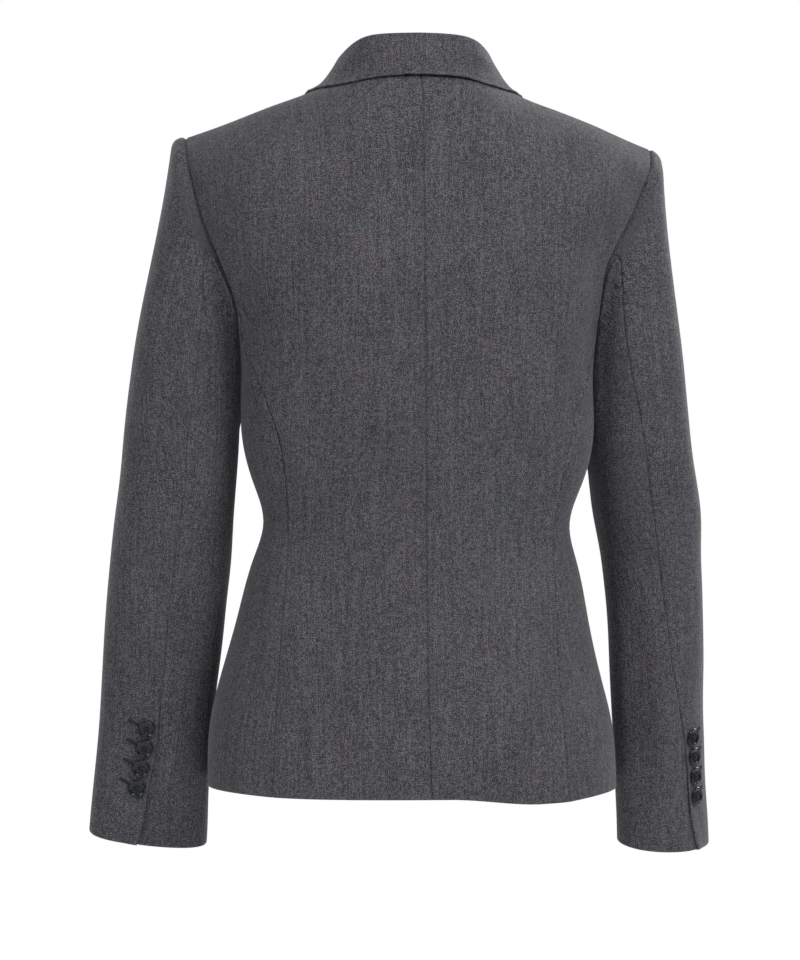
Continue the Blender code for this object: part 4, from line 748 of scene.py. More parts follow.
def front_panel(half):
    back, under, front = ARMHOLE_STEPS
    outer = np.concatenate([half.front_side, half.loop[back + under + 1 :]])
    even_top, top = (line[::-1] for line in half.shoulder_seam(FRONT_COLUMNS))
    inner, even_outer = front_edge_line(front), half.even(outer)
    u = np.linspace(0, 1, len(top))
    spread = 1 - np.cos(u * math.radians(SPREAD_TURN["front"]))
    spread = spread / spread[-1]
    start, run = even_outer[0, 0], inner[0, 0] - even_outer[0, 0]
    hem = np.stack([start + run * spread, hem_height(start + run * u)], -1)
    hem[-1] = inner[0]
    flat = spread_rows(even_outer, inner, even_top[:, (0, 2)], hem, u, spread)
    sunk = under_lap(flat[..., 0], flat[..., 1]) if half.side > 0 else 0.0
    return curved(half, "front", flat, outer, top, 0, sunk)


# ---------------------------------------------------------------- sleeves
def sleeve_grid(half, panels):
    """The whole tube, from the armhole down. Row 0 is the armhole's own points."""
    table, loop = SLEEVE[half.name], half.loop
    rows_at, highest, steps = spline(table), max(table), len(loop) - 1
    back, under, _ = ARMHOLE_STEPS
    stops = (0, BACK_SEAM_STEP, back, back + under, INNER_SEAM_STEP, steps)
    lean = math.sin(math.radians(CUFF_LEAN[half.name]))

    def ring(z):
        x, y, wide, deep, turn, pitch, seam = rows_at(z)
        angle = np.radians(np.interp(np.arange(steps + 1), stops, (0, seam, *TUBE_TURNS, 360)))
        power = 2 + SLEEVE_SQUARE * (1 - float(ease(turn, *SQUARE_GOES)))
        turn, pitch = math.radians(turn), math.radians(pitch)
        cosine, sine = np.cos(angle), np.sin(angle)
        size = (np.abs(cosine) ** power + np.abs(sine) ** power) ** (-1 / power)
        across, along = wide * cosine * size, deep * sine * size
        behind = along * math.cos(turn) - across * math.sin(turn)
        return np.stack([
            (x + across * math.cos(turn) + along * math.sin(turn)) * half.side,
            y + behind * math.cos(pitch),
            z - along * math.sin(pitch) + across * lean * float(ease(-z, *LEAN_COMES)),
        ], -1)

    bicep = ring(highest)
    down = unit(ring(highest - BICEP_STEP) - bicep)
    around = np.arange(steps + 1) / steps
    radius = spline(CROWN_RADIUS)(around * CROWN_STEPS)
    near_tip = 1 - ease(np.minimum(around, 1 - around), *TIP_REACH)
    rise = UNDERARM_RISE + (CROWN_RISE[half.name] - UNDERARM_RISE) * near_tip
    knee = loop + radius * unit(np.stack([half.side + 0 * rise, 0 * rise, rise], -1))
    to_arm = unit(bicep - knee)
    after = knee + to_arm * radius
    t = np.linspace(0, 1, BEND_ROWS + 1)[1:, None, None]
    bend = (1 - t) ** 2 * loop + 2 * t * (1 - t) * knee + t * t * after
    length = np.linalg.norm(bicep - after, axis=-1, keepdims=True)
    fall = np.array([0.0, 0.0, -CROWN_FALL[half.name]])
    t = np.linspace(0, 1, CROWN_ROWS + 1)[1:, None, None]
    head = (2 * t**3 - 3 * t**2 + 1) * after + (t**3 - 2 * t**2 + t) * unit(to_arm + fall) * length
    head += (3 * t**2 - 2 * t**3) * bicep + (t**3 - t**2) * down * length
    arm = [ring(z) for z in spaced(highest, min(table), SLEEVE_ROWS)[1:]]
    return clear_of_body(np.concatenate([[loop], bend, head, arm]), half, panels)


def clear_of_body(grid, half, panels):
    """Holds a sleeve just off the coat's side, where the arm would press it on."""
    tree, moved, inward = outer_tree(panels), grid.copy(), Vector((-half.side, 0.0, 0.0))
    for i, j in np.ndindex(grid.shape[:2]):
        x, y, z = grid[i, j]
        place = tree.ray_cast(Vector((half.side * ARM_SEARCH[0], y, z)), inward, ARM_SEARCH[1])[0]
        if place is None or i < BEND_ROWS // 2 or z < HEM_BACK - ARM_BELOW:
            continue
        gap = half.side * (x - place.x) - ARM_CLEAR
        if gap > -ARM_DEEPEST:
            gap = max(gap, 0.0)
            press = 1 - float(ease(gap, *ARM_PRESS))
            gap *= 1 - press * float(ease(z, *ARM_PRESS_FADE))
            moved[i, j, 0] = place.x + half.side * (ARM_CLEAR + gap)
    return moved


def sleeve_pieces(half, panels):
    tube = sleeve_grid(half, panels)
    last = tube.shape[1] - 1
    twice = np.concatenate([tube[:, :-1], tube], 1)[::-1]
    whole = Piece("tube", np.concatenate([tube[:, -2:-1], tube, tube[:, 1:2]], 1)[::-1], half.side)
    pieces = []
    for part, start, stop in (("topsleeve", INNER_SEAM_STEP, last + BACK_SEAM_STEP),
                              ("undersleeve", BACK_SEAM_STEP, INNER_SEAM_STEP)):
        piece = Piece(f"{part}_{half.name}", twice[:, start : stop + 1], half.side, half.loop)
        for j, column in ((0, start), (-1, stop)):
            piece.out[:, j] = whole.out[:, 1 + column % last]
        pieces.append(piece)
    return pieces


def from_edge(grid, step):
    """How far each point is from its row's first end (step 1) or its last (-1), from there on."""
    return lengths(grid[:, ::step].swapaxes(0, 1)).T


def open_vent(top, under):
    """Laps the topsleeve's edge over the undersleeve's, from the hem up to the vent's top."""
    height = lengths(top.grid[:, -1])
    share = 1 - ease(height, VENT_LONG, VENT_LONG + VENT_FADE)
    share *= 1 - VENT_TAPER * np.clip(height / VENT_LONG, 0, 1)
    for piece, step, wide, rise in ((top, -1, VENT_WIDE, VENT_LIFT),
                                    (under, 1, VENT_SINK_WIDE, -VENT_SINK)):
        near = 1 - ease(from_edge(piece.grid, step)[:, ::step], 0, wide)
        piece.grid = piece.grid + piece.out * (rise * share[:, None] * near)[..., None]
    off, reach = from_edge(top.grid, -1), UNDERLAP_STEP * np.arange(UNDERLAP_STEPS, 0, -1)

    def at_reach(values):
        rows = zip(off, values[:, ::-1])
        return np.array([[np.interp(reach, o, row[:, k]) for k in range(3)] for o, row in rows])

    ways = unit(at_reach(top.out).swapaxes(1, 2))
    place = at_reach(top.grid).swapaxes(1, 2) - ways * (CLOTH + UNDERLAP_GAP)
    under.underlap = place, ways, int((height < VENT_LONG).sum())


# ---------------------------------------------------------------- collar and lapels
def cells(rows, columns):
    """The four corners of each cell of a grid."""
    index = np.arange(rows * columns).reshape(rows, columns)
    corners = index[:-1, :-1], index[:-1, 1:], index[1:, 1:], index[1:, :-1]
    return np.stack(corners, -1).reshape(-1, 4)


def outer_tree(pieces):
    """The outer faces of some pieces, for others to lie on."""
    points, faces = [], []
    for piece in pieces:
        faces += (cells(*piece.grid.shape[:2])[:, :: piece.hand] + len(points)).tolist()
        points += piece.grid.reshape(-1, 3).tolist()
    return BVHTree.FromPolygons(points, faces)


def lay(tree, points, lift=0.0):
    """Points moved along y onto the surface, or to a height over it."""
    laid = np.array(points)
    for index in np.ndindex(laid.shape[:-1]):
        start = Vector(laid[index]) - Vector((0.0, LAY_REACH, 0.0))
        place, normal, _, _ = tree.ray_cast(start, Vector((0.0, 1.0, 0.0)), 2 * LAY_REACH)
        if place is None:
            place, normal, _, _ = tree.find_nearest(Vector(laid[index]))
        laid[index] = place + normal * lift
    return laid


def held_off(tree, points, least, pull):
    """Points pushed out to the least distance off a surface, or drawn in towards it by a share."""
    moved = np.array(points)
    for index in np.ndindex(moved.shape[:-1]):
        place, normal, _, _ = tree.find_nearest(Vector(moved[index]))
        short = least - (Vector(moved[index]) - place).dot(normal)
        moved[index] += np.array(normal) * (short if short > 0 else short * pull[index])
    return moved


def clear_of(piece, others, first_row=0):
    """Raises a piece's points until the corners of what it lies on are clear of its inner face."""
    probes = np.concatenate([other.faces()[0].reshape(-1, 3) for other in others])
    low, high = piece.grid.min((0, 1)) - LAYER_GAP, piece.grid.max((0, 1)) + LAYER_GAP
    probes = [Vector(p) for p in probes[((probes > low) & (probes < high)).all(-1)]]
    for _ in range(CLEARING_ROUNDS):
        tree = outer_tree([Piece(piece.name, piece.faces()[1], piece.hand)])
        push = np.zeros(piece.grid.shape)
        for probe in probes:
            place, normal, face, _ = tree.find_nearest(probe, 4 * CLOTH)
            if place is None:
                continue
            short = min(LEAST_CLEAR - (place - probe).dot(normal), CLEARING_STEP)
            i, j = divmod(face, piece.grid.shape[1] - 1)
            if short > 0 and i >= first_row:
                for spot in ((i, j), (i, j + 1), (i + 1, j), (i + 1, j + 1)):
                    if short > np.linalg.norm(push[spot]):
                        push[spot] = np.array(normal) * short
        piece.grid = piece.grid + push
        if not push.any():
            break


def collar(tree):
    """Stand and fall in one, from gorge to gorge."""
    ways = np.linspace(0, 1, COLLAR_HALF_STEPS + 1)
    half = spline(COLLAR)(ways)
    ways = np.concatenate([ways[:0:-1], ways])
    lines = [
        np.concatenate([settle(line, -1)[:0:-1], settle(line, 1)])
        + COLLAR_SET * (1 - ease(ways, *SET_GOES))[:, None] * (1, 0, 0)
        for line in np.split(half, 3, axis=-1)
    ]
    seam, fold, edge = lines
    on_right = np.arange(len(ways)) < COLLAR_HALF_STEPS
    uneven = COLLAR_UNEVEN * ease(ways, *UNEVEN_COMES) * (1 - ease(ways, *UNEVEN_GOES))
    edge[:, 2] += uneven * on_right
    up = unit(fold - seam)
    over = unit(level(edge - fold, up))
    inner_foot = fold - up * COLLAR_BEND
    middle = inner_foot + over * COLLAR_BEND
    foot = middle + over * COLLAR_BEND
    share = np.linspace(0, 1, COLLAR_FALL_STEPS + 1)[:, None]
    fall = foot + (edge - foot) * share[..., None]
    dip = COLLAR_HOLLOW * np.sin(math.pi * share)
    dip = dip * ease(ways, *HOLLOW_COMES) * (1 - ease(ways, *HOLLOW_GOES))
    fall -= unit(np.cross(np.gradient(fall, axis=1), np.gradient(fall, axis=0))) * dip[..., None]
    fall[..., 2] -= notch_drop(share) * ease(ways, *NOTCH_COMES) ** NOTCH_POWER
    settled = ease(ways, *LAPEL_SIDE)[:, None]
    lift = CLOTH + COLLAR_LIFT
    pull = ease(share, *PULL_DOWN) * ease(ways, *PULL_COMES)
    fall = (1 - settled) * held_off(tree, fall, lift, pull) + settled * lay(tree, fall, lift)
    rows = [seam, (seam + inner_foot) / 2]
    for turn in spaced(0, math.pi, COLLAR_BEND_STEPS)[:-1]:
        bend = middle - (over * math.cos(turn) - up * math.sin(turn)) * COLLAR_BEND
        rows.append(bend + (fall[0] - foot) * ease(turn, 0, math.pi))
    return Piece("collar", np.array([*rows, *fall]), 1)


def notch_drop(share):
    """How far the collar's end is drawn down to the lapel, out along it to the notch."""
    start, run, notch = NOTCH_DROP
    left = (1 - share) / (1 - NOTCH_SHARE)
    return np.where(share <= NOTCH_SHARE, start + run * share, notch * left)


def lapel(half, front):
    """The facing's turned part: from inside the front's edge, round the fold, out to the edge."""
    rows, columns = LAPEL_GRID
    height = spaced(BREAK_HEIGHT + LAPEL_FOOT[1], GORGE_HEIGHT, rows)
    fold = np.stack([fold_x(height), height], -1)
    foot = {0.0: (fold[0, 0] + LAPEL_FOOT[0], fold[0, 1])}
    edge = spline(foot | LAPEL_EDGE)(np.linspace(0, 1, rows + 1))
    x, z = np.moveaxis(fold + (edge - fold) * np.linspace(0, 1, columns + 1)[:, None, None], -1, 0)
    surface = lay(outer_tree([front]), settle(np.stack([x, form(x, z, -1), z], -1), half.side))
    rim = front.grid[LOWER_ROWS:, -1]
    for axis in (0, 1):
        surface[0, :, axis] = np.interp(surface[0, :, 2], rim[:, 2], rim[:, axis])
    out = unit(np.cross(np.gradient(surface, axis=0), np.gradient(surface, axis=1)))
    out *= -np.sign(out[..., 1:2])
    away = -unit(level(surface[1] - surface[0], out[0]))
    reach = 1.5 * CLOTH + LAYER_GAP
    centre = surface[0] - out[0] * CLOTH / 2 + away * FOLD_CLEAR
    wrapped = [centre - out[0] * reach - away * ROLL_WRAP]
    for turn in np.radians(np.linspace(-90, 90, LAPEL_BEND_STEPS + 1)):
        wrapped.append(centre + away * reach * math.cos(turn) + out[0] * reach * math.sin(turn))
    lift = CLOTH + LAYER_GAP + LAPEL_RISE * ease(height, *LAPEL_RISES)[:, None]
    wrapped += list(surface[1:] + out[1:] * lift)
    return Piece(f"lapel_{half.name}", np.array(wrapped), -half.side)


# ---------------------------------------------------------------- cloth meshes
PIECE_SHIFT = (1.37, 0.71)  # from one piece's place in the cloth to the next one's
# A grid point's numbers: outer and inner face, way out, place in the flat cloth, wear, is it kept
OUTER, INNER, WAY, GRAIN, WEAR, KEEP = np.s_[0:3], np.s_[3:6], np.s_[6:9], np.s_[9:11], 11, 12


def turned_to(array, which):
    """The array with an edge of the grid as its first row."""
    array = array.swapaxes(0, 1) if which in ("left", "right") else array
    return array[::-1] if which in ("right", "top") else array


def turned_back(array, which):
    array = array[::-1] if which in ("right", "top") else array
    return array.swapaxes(0, 1) if which in ("left", "right") else array


def grain_of(piece):
    """Each point's place in the flat piece: across from its middle column, and up that column."""
    grid, part, middle = piece.grid, piece.name.split("_")[0], piece.grid.shape[1] // 2
    rows = np.gradient(grid, axis=0)
    upward = unit(rows)
    if part in ("back", "front"):
        upward = unit(np.cross(level(np.array([1.0, 0.0, 0.0]), piece.out), piece.out))
    elif part not in ("lapel", "collar"):
        upward = unit(level(rows[:, middle, None], piece.out))
    upward *= np.sign((upward * rows).sum(-1).sum())
    frame = np.stack([np.cross(upward, piece.out), upward], -2)

    def summed(axis):
        way = np.diff(grid, axis=axis)
        near = np.delete(frame, 0, axis) + np.delete(frame, -1, axis)
        steps = (near * way[..., None, :]).sum(-1) / 2
        return np.concatenate([0 * steps.take([0], axis), np.cumsum(steps, axis=axis)], axis)

    across = summed(1)
    return across - across[:, middle, None] + summed(0)[:, middle, None]


def flat_size(piece):
    """The flat piece's width, length and area."""
    grid, place = piece.grid, grain_of(piece).reshape(-1, 2)
    one = np.cross(grid[1:, 1:] - grid[:-1, :-1], grid[1:, :-1] - grid[:-1, 1:])
    return (*np.ptp(place, axis=0), float(np.linalg.norm(one, axis=-1).sum() / 2))


def dress_edge(sheet, which, groove, turned):
    """Adds grid lines along an edge. A seam sinks there, and a free edge is rounded."""
    lines = np.array(turned_to(sheet, which))
    first, second = lines[0], lines[1]
    gap, count = np.linalg.norm(second[:, OUTER] - first[:, OUTER], axis=-1), len(EDGE_LINES)
    added = []
    for k, reach in enumerate(EDGE_LINES):
        share = np.minimum(reach / np.maximum(gap, 1e-9), 0.9 * (k + 1) / count)
        added.append(first + share[:, None] * (second - first))
    lines = np.concatenate([lines[:1], added, lines[1:]])
    near = lines[: 2 * count]
    off = lengths(near[..., OUTER])
    half = np.linalg.norm(near[..., OUTER] - near[..., INNER], axis=-1) / 2
    sunk = groove * np.clip(1 - off / GROOVE_WIDE, 0, 1) ** 2
    rolled = turned * TURN_SHARE * (half - np.sqrt(half**2 - np.clip(half - off, 0, None) ** 2))
    near[..., OUTER] -= near[..., WAY] * (sunk + rolled)[..., None]
    near[..., INNER] += near[..., WAY] * rolled[..., None]
    apart = unit(first[:, OUTER] - second[:, OUTER]) * (np.asarray(groove)[..., None] > 0)
    near[0, :, INNER] += apart * SEAM_CLOSE
    near[..., WEAR] = np.maximum(near[..., WEAR], turned * np.clip(1 - off / EDGE_WEAR, 0, 1))
    return turned_back(lines, which)


def link(name, points, faces, material):
    mesh = bpy.data.meshes.new(name)
    mesh.from_pydata(np.asarray(points, float).tolist(), [], [list(map(int, f)) for f in faces])
    mesh.shade_smooth()
    mesh.materials.append(material)
    thing = bpy.data.objects.new(name, mesh)
    bpy.context.scene.collection.objects.link(thing)
    return thing


def sew(piece, rims, material, number):
    """Makes a piece's closed mesh. rims gives each edge's groove and how far it is turned."""
    rest = np.zeros(piece.grid.shape[:2] + (1,))
    sheet = np.concatenate([*piece.faces(), piece.out, grain_of(piece), rest, rest + 1], -1)
    for which in ("left", "right"):
        sheet = dress_edge(sheet, which, *rims[which])
    if hasattr(piece, "underlap"):
        place, way, kept_rows = piece.underlap
        extra = np.zeros(place.shape[:2] + sheet.shape[2:])
        extra[..., OUTER], extra[..., INNER], extra[..., WAY] = place, place - way * CLOTH, way
        extra[..., GRAIN] = sheet[:, :1, GRAIN]
        extra[..., GRAIN.start] -= np.arange(place.shape[1], 0, -1) * UNDERLAP_STEP
        extra[:kept_rows, :, KEEP] = 1
        sheet = np.concatenate([extra, sheet], 1)
    for which in ("bottom", "top"):
        sheet = dress_edge(sheet, which, *rims[which])
    quads = cells(*sheet.shape[:2])
    quads = quads[(sheet[..., KEEP].ravel()[quads] > 0.99).all(-1)][:, :: piece.hand]
    total = sheet.shape[0] * sheet.shape[1]
    starts, ends = quads.ravel(), np.roll(quads, -1, axis=1).ravel()
    rim = ~np.isin(starts * total + ends, ends * total + starts)
    starts, ends = starts[rim], ends[rim]
    sides = np.stack([ends, starts, starts + total, ends + total], -1)
    faces = np.concatenate([quads, quads[:, ::-1] + total, sides])
    used, faces = np.unique(faces, return_inverse=True)
    flat = sheet.reshape(-1, sheet.shape[-1])
    points = np.concatenate([flat[:, OUTER], flat[:, INNER]])[used]
    thing = link(f"{piece.name}_cloth", points, faces.reshape(-1, 4), material)
    flat = flat[used % total]
    place = np.column_stack([flat[:, GRAIN] + np.multiply(number, PIECE_SHIFT), 0 * used])
    for name, kind, key, values in (("grain", "FLOAT_VECTOR", "vector", place),
                                    ("wear", "FLOAT", "value", flat[:, WEAR])):
        layer = thing.data.attributes.new(name, kind, "POINT")
        layer.data.foreach_set(key, values.astype(np.float32).ravel())
    return thing


# ---------------------------------------------------------------- buttons
def point_on(piece, row, column):
    """A place on a piece's outer face, by its row and column, which may lie between two."""
    i, j = int(min(row, piece.grid.shape[0] - 2)), int(min(column, piece.grid.shape[1] - 2))
    a, b = row - i, column - j
    weights = np.array([[(1 - a) * (1 - b), (1 - a) * b], [a * (1 - b), a * b]])[..., None]
    grids = piece.grid, piece.out
    place, out = ((weights * grid[i : i + 2, j : j + 2]).sum((0, 1)) for grid in grids)
    return place, unit(out)


BUTTON_PROFILE = (
    # share of the radius, share of the thickness, from the back over the rim to the dish
    (0.58, 0.00), (0.66, 0.01), (0.80, 0.08), (0.92, 0.24), (0.98, 0.42), (1.00, 0.58),
    (0.995, 0.72), (0.97, 0.86), (0.925, 0.96), (0.87, 1.00), (0.81, 0.98), (0.755, 0.91),
    (0.71, 0.80), (0.67, 0.72), (0.62, 0.68), (0.58, DISH_FLOOR),
)
BUTTON_SIDES = 64
EYE_AT = 0.185  # of the radius, from the button's middle both ways
EYE_WIDE = 0.095
EYE_SIDES = 20
FLOOR_RING = (0.42, 40)  # a ring of points on the dish's floor: share of the radius, how many
WELD = 1e-6


def circle(middle, radius, sides):
    turn = np.arange(sides) * 2 * math.pi / sides
    return np.array(middle) + radius * np.stack([np.cos(turn), np.sin(turn)], -1)


def strips(first, sides, step, flip=False):
    """The faces between a ring of points and the next, which is step points on."""
    for k in range(sides):
        a, b = first + k, first + (k + 1) % sides
        yield (b, a, a + step, b + step) if flip else (a, b, b + step, a + step)


def button_mesh():
    """A four-hole button of radius and thickness 1: its points and faces."""
    points, faces = [], []
    for ring, (share, height) in enumerate(BUTTON_PROFILE):
        points += [(*p, height) for p in circle((0, 0), share, BUTTON_SIDES)]
        if ring:
            faces += strips(BUTTON_SIDES * (ring - 1), BUTTON_SIDES, BUTTON_SIDES)
    eyes = [(sx * EYE_AT, sy * EYE_AT) for sx in (-1, 1) for sy in (-1, 1)]
    loops = [circle((0, 0), BUTTON_PROFILE[0][0], BUTTON_SIDES), circle((0, 0), *FLOOR_RING)]
    loops += [circle(eye, EYE_WIDE, EYE_SIDES) for eye in eyes]
    starts = np.cumsum([0] + [len(loop) for loop in loops]).tolist()
    sides = [(start + k, start + (k + 1) % len(loop))
             for start, loop in zip(starts, loops) for k in range(len(loop))]
    flat = [Vector(p) for loop in loops for p in loop]
    spots, _, triangles, _, _, _ = delaunay_2d_cdt(flat, sides, [], 0, 1e-6)
    first, count = len(points), len(spots)
    for height in (BUTTON_PROFILE[-1][1], BUTTON_PROFILE[0][1]):
        points += [(p.x, p.y, height) for p in spots]
    for triangle in triangles:
        middle = sum((spots[i] for i in triangle), Vector((0, 0))) / 3
        if all((middle - Vector(eye)).length > EYE_WIDE * 0.9 for eye in eyes):
            faces.append([first + i for i in triangle])
            faces.append([first + count + i for i in triangle[::-1]])
    for start in starts[2:-1]:
        faces += strips(first + start, EYE_SIDES, count, flip=True)
    return np.array(points), faces


def trimming(name, node, points, faces, material):
    """A button, thread or buttonhole: its doubled points joined and its faces turned outward."""
    thing, build = link(name, points, faces, material), bmesh.new()
    build.from_mesh(thing.data)
    bmesh.ops.remove_doubles(build, verts=build.verts, dist=WELD)
    bmesh.ops.recalc_face_normals(build, faces=build.faces)
    build.to_mesh(thing.data)
    build.free()
    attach(thing, "root")
    if node:
        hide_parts(node)
    return thing


def axes(out, up_hint):
    """A button's own axes: across, up and out."""
    across = unit(np.cross(up_hint, out))
    return np.stack([across, np.cross(out, across), out])


def tube(path, radius, closed, bump=0.0):
    """A round cord along a path. Its stitches make it thicker and thinner by the share bump."""
    path = np.asarray(path, float)
    ahead = np.gradient(path, axis=0)
    if closed:
        ahead = np.roll(path, -1, axis=0) - np.roll(path, 1, axis=0)
    side = unit(np.cross(unit(ahead), TUBE_SIDE))
    up = np.cross(side, unit(ahead))
    size = radius * (1 + bump * np.cos(2 * math.pi * lengths(path) / STITCH_PITCH))
    turn = (np.arange(TUBE_SIDES) * 2 * math.pi / TUBE_SIDES)[:, None]
    ring = side[:, None] * np.cos(turn) + up[:, None] * np.sin(turn)
    points = (path[:, None] + ring * size[:, None, None]).reshape(-1, 3)
    faces = []
    for i in range(len(path) - 1):
        faces += strips(i * TUBE_SIDES, TUBE_SIDES, TUBE_SIDES)
    last = (len(path) - 1) * TUBE_SIDES
    if closed:
        faces += strips(last, TUBE_SIDES, -last)
    else:
        faces += [tuple(range(TUBE_SIDES))[::-1], tuple(last + k for k in range(TUBE_SIDES))]
    return points, faces


def button(name, node, middle, frame_axes, radius, looks):
    """The button and the thread that holds it, on a place of the cloth."""
    points, faces = button_mesh()
    scaled = points * (radius, radius, BUTTON_THICK) + (0, 0, BUTTON_STANDS_OFF)
    thing = trimming(name, node, middle + scaled @ frame_axes, faces, looks["button"])
    eye, top = EYE_AT * radius, BUTTON_STANDS_OFF + DISH_FLOOR * BUTTON_THICK + THREAD_RISE[0]
    turn = np.linspace(0, math.pi, ARCH_POINTS)
    arch = [(eye * math.cos(t), top + THREAD_RISE[1] * math.sin(t) ** ARCH_POWER) for t in turn]
    arch = [(eye, THREAD_FOOT), *arch, (-eye, THREAD_FOOT)]
    strands, faces = [], []
    for y in (row * eye + aside for row in (-1, 1) for aside in (-THREAD_APART, THREAD_APART)):
        cord, cord_faces = tube([(x, y, z) for x, z in arch], THREAD, closed=False)
        faces += [[i + len(cord) * len(strands) for i in face] for face in cord_faces]
        strands.append(cord)
    thread = middle + np.concatenate(strands) @ frame_axes
    return [thing, trimming(f"{name}_thread", None, thread, faces, looks["thread"])]


def buttonhole(name, tree, middle, out, along, length, looks):
    """A keyhole buttonhole: an eyelet, a slit, and the stitched cord round both."""
    along = unit(level(along, out))
    across = np.cross(out, along)
    half = HOLE_CORD * HOLE_SLIT
    opening = math.asin(half / HOLE_EYE)
    arc = np.linspace(opening, 2 * math.pi - opening, HOLE_EYE_POINTS)
    straight = np.arange(HOLE_EYE * math.cos(opening) + HOLE_STEP, length, HOLE_STEP)
    end = np.linspace(math.pi / 2, -math.pi / 2, HOLE_END_POINTS)[1:-1]
    flat = [(x, -half) for x in straight]
    flat += [(length + half * math.cos(t), -half * math.sin(t)) for t in end]
    flat += [(x, half) for x in straight[::-1]]
    flat += [(HOLE_EYE * math.cos(t), HOLE_EYE * math.sin(t)) for t in arc]
    path = []
    for a, b in flat:
        start = Vector(middle + along * a + across * b + out * HOLE_SEARCH[0])
        place, normal, _, _ = tree.ray_cast(start, Vector(-out), HOLE_SEARCH[1])
        if place is None:
            place, normal, _, _ = tree.find_nearest(start)
        path.append(np.array(place) + np.array(normal) * HOLE_CORD * HOLE_SINK)
    points, faces = tube(path, HOLE_CORD, closed=True, bump=STITCH_BUMP)
    return trimming(name, None, points, faces, looks["thread"])


def cuff(top, side_name, looks):
    """The four buttons and buttonholes along a topsleeve's vent, from the lowest up."""
    last, tree, made = top.grid.shape[1] - 1, outer_tree([top]), []
    height, tilt = lengths(top.grid[:, last]), math.radians(CUFF_HOLE_TILT)
    for number in range(1, CUFF_BUTTONS + 1):
        at = CUFF_BUTTON_LOWEST + CUFF_BUTTON_PITCH * (number - 1)
        row = float(np.interp(at, height, np.arange(len(height))))
        step = CUFF_BUTTON_IN / np.linalg.norm(np.subtract(*top.grid[int(row), [last, last - 1]]))
        place, out = point_on(top, row, last - step)
        up = unit(point_on(top, row + 1, last - step)[0] - place)
        aside = unit(point_on(top, row, last - 2 * step)[0] - place)
        name = f"cuff_button_{side_name}_{number}"
        made += button(f"{name}_sewn", name, place, axes(out, up), CUFF_BUTTON_RADIUS, looks)
        way = aside * math.cos(tilt) + up * math.sin(tilt)
        name = f"cuff_hole_{side_name}_{number}"
        made.append(buttonhole(name, tree, place, out, way, CUFF_HOLE_LONG, looks))
    return made


def front_buttons(front, looks):
    """Two buttons and their holes, in the middle of the body on the right front."""
    tree, made = outer_tree([front]), []
    for number, height in FRONT_BUTTONS.items():
        even = np.array([0.0, float(form(0.0, height, -1)), height])
        place = lay(tree, settle(even, -1)[None])[0]
        out = np.array(tree.find_nearest(Vector(place))[1])
        name = f"front_button_{number}"
        upright = axes(out, (0, 0, 1))
        made += button(f"{name}_sewn", name, place, upright, FRONT_BUTTON_RADIUS, looks)
        way, name = np.array([-1.0, 0, 0]), f"front_hole_{number}"
        made.append(buttonhole(name, tree, place, out, way, FRONT_HOLE_LONG, looks))
    return made


# ---------------------------------------------------------------- materials
class Looks:
    """A material's nodes, added one after another."""

    def __init__(self, name):
        self.material = bpy.data.materials.new(name)
        self.material.use_nodes = True
        self.tree = self.material.node_tree
        self.shader = self.tree.nodes["Principled BSDF"]

    def set(self, **values):
        for name, value in values.items():
            self.shader.inputs[name.replace("_", " ")].default_value = value

    def to(self, socket, value):
        self.tree.links.new(value, self.shader.inputs[socket])

    def add(self, kind, inputs=(), **settings):
        node = self.tree.nodes.new(f"ShaderNode{kind}")
        for name, value in settings.items():
            setattr(node, name, value)
        for socket, value in dict(inputs).items():
            if hasattr(value, "is_linked"):
                self.tree.links.new(value, node.inputs[socket])
            else:
                node.inputs[socket].default_value = value
        return node.outputs

    def scaled(self, vector, *factors):
        return self.add("VectorMath", {0: vector, 1: factors}, operation="MULTIPLY")["Vector"]

    def noise(self, vector, scale, detail=2.0, dimensions="2D"):
        inputs = {"Vector": vector, "Scale": scale, "Detail": detail, "Roughness": 0.5}
        return self.add("TexNoise", inputs, noise_dimensions=dimensions)["Fac"]

    def specks(self, place, *factors, detail=2.0):
        """Noise in the piece's own space, finer by a factor each way."""
        return self.noise(self.scaled(place, *factors), 1.0, detail, "3D")

    def dashes(self, vector, *factors):
        place = self.scaled(vector, *factors)
        cell = self.add("VectorMath", {0: place}, operation="FLOOR")["Vector"]
        return self.add("TexWhiteNoise", {"Vector": cell}, noise_dimensions="2D")["Value"]

    def math(self, operation, a, b, c=0.0):
        return self.add("Math", {0: a, 1: b, 2: c}, operation=operation)["Value"]

    def ramp(self, value, stops):
        outputs = self.add("ValToRGB", {"Fac": value})
        ramp = outputs["Color"].node.color_ramp
        while len(ramp.elements) < len(stops):
            ramp.elements.new(0.5)
        for element, (place, colour) in zip(ramp.elements, stops):
            element.position = place
            element.color = (*colour, 1.0)
        return outputs["Color"]

    def mix(self, blend, share, a, b):
        inputs = {"Factor": share, 6: a, 7: b}
        return self.add("Mix", inputs, data_type="RGBA", blend_type=blend)[2]

    def range(self, value, low, high, new_low, new_high):
        return self.add("MapRange", {"Value": value, "From Min": low, "From Max": high,
                                     "To Min": new_low, "To Max": new_high})["Result"]

    def bump(self, height, strength, distance, **normal):
        inputs = {"Height": height, "Strength": strength, "Distance": distance}
        return self.add("Bump", inputs | normal)["Normal"]


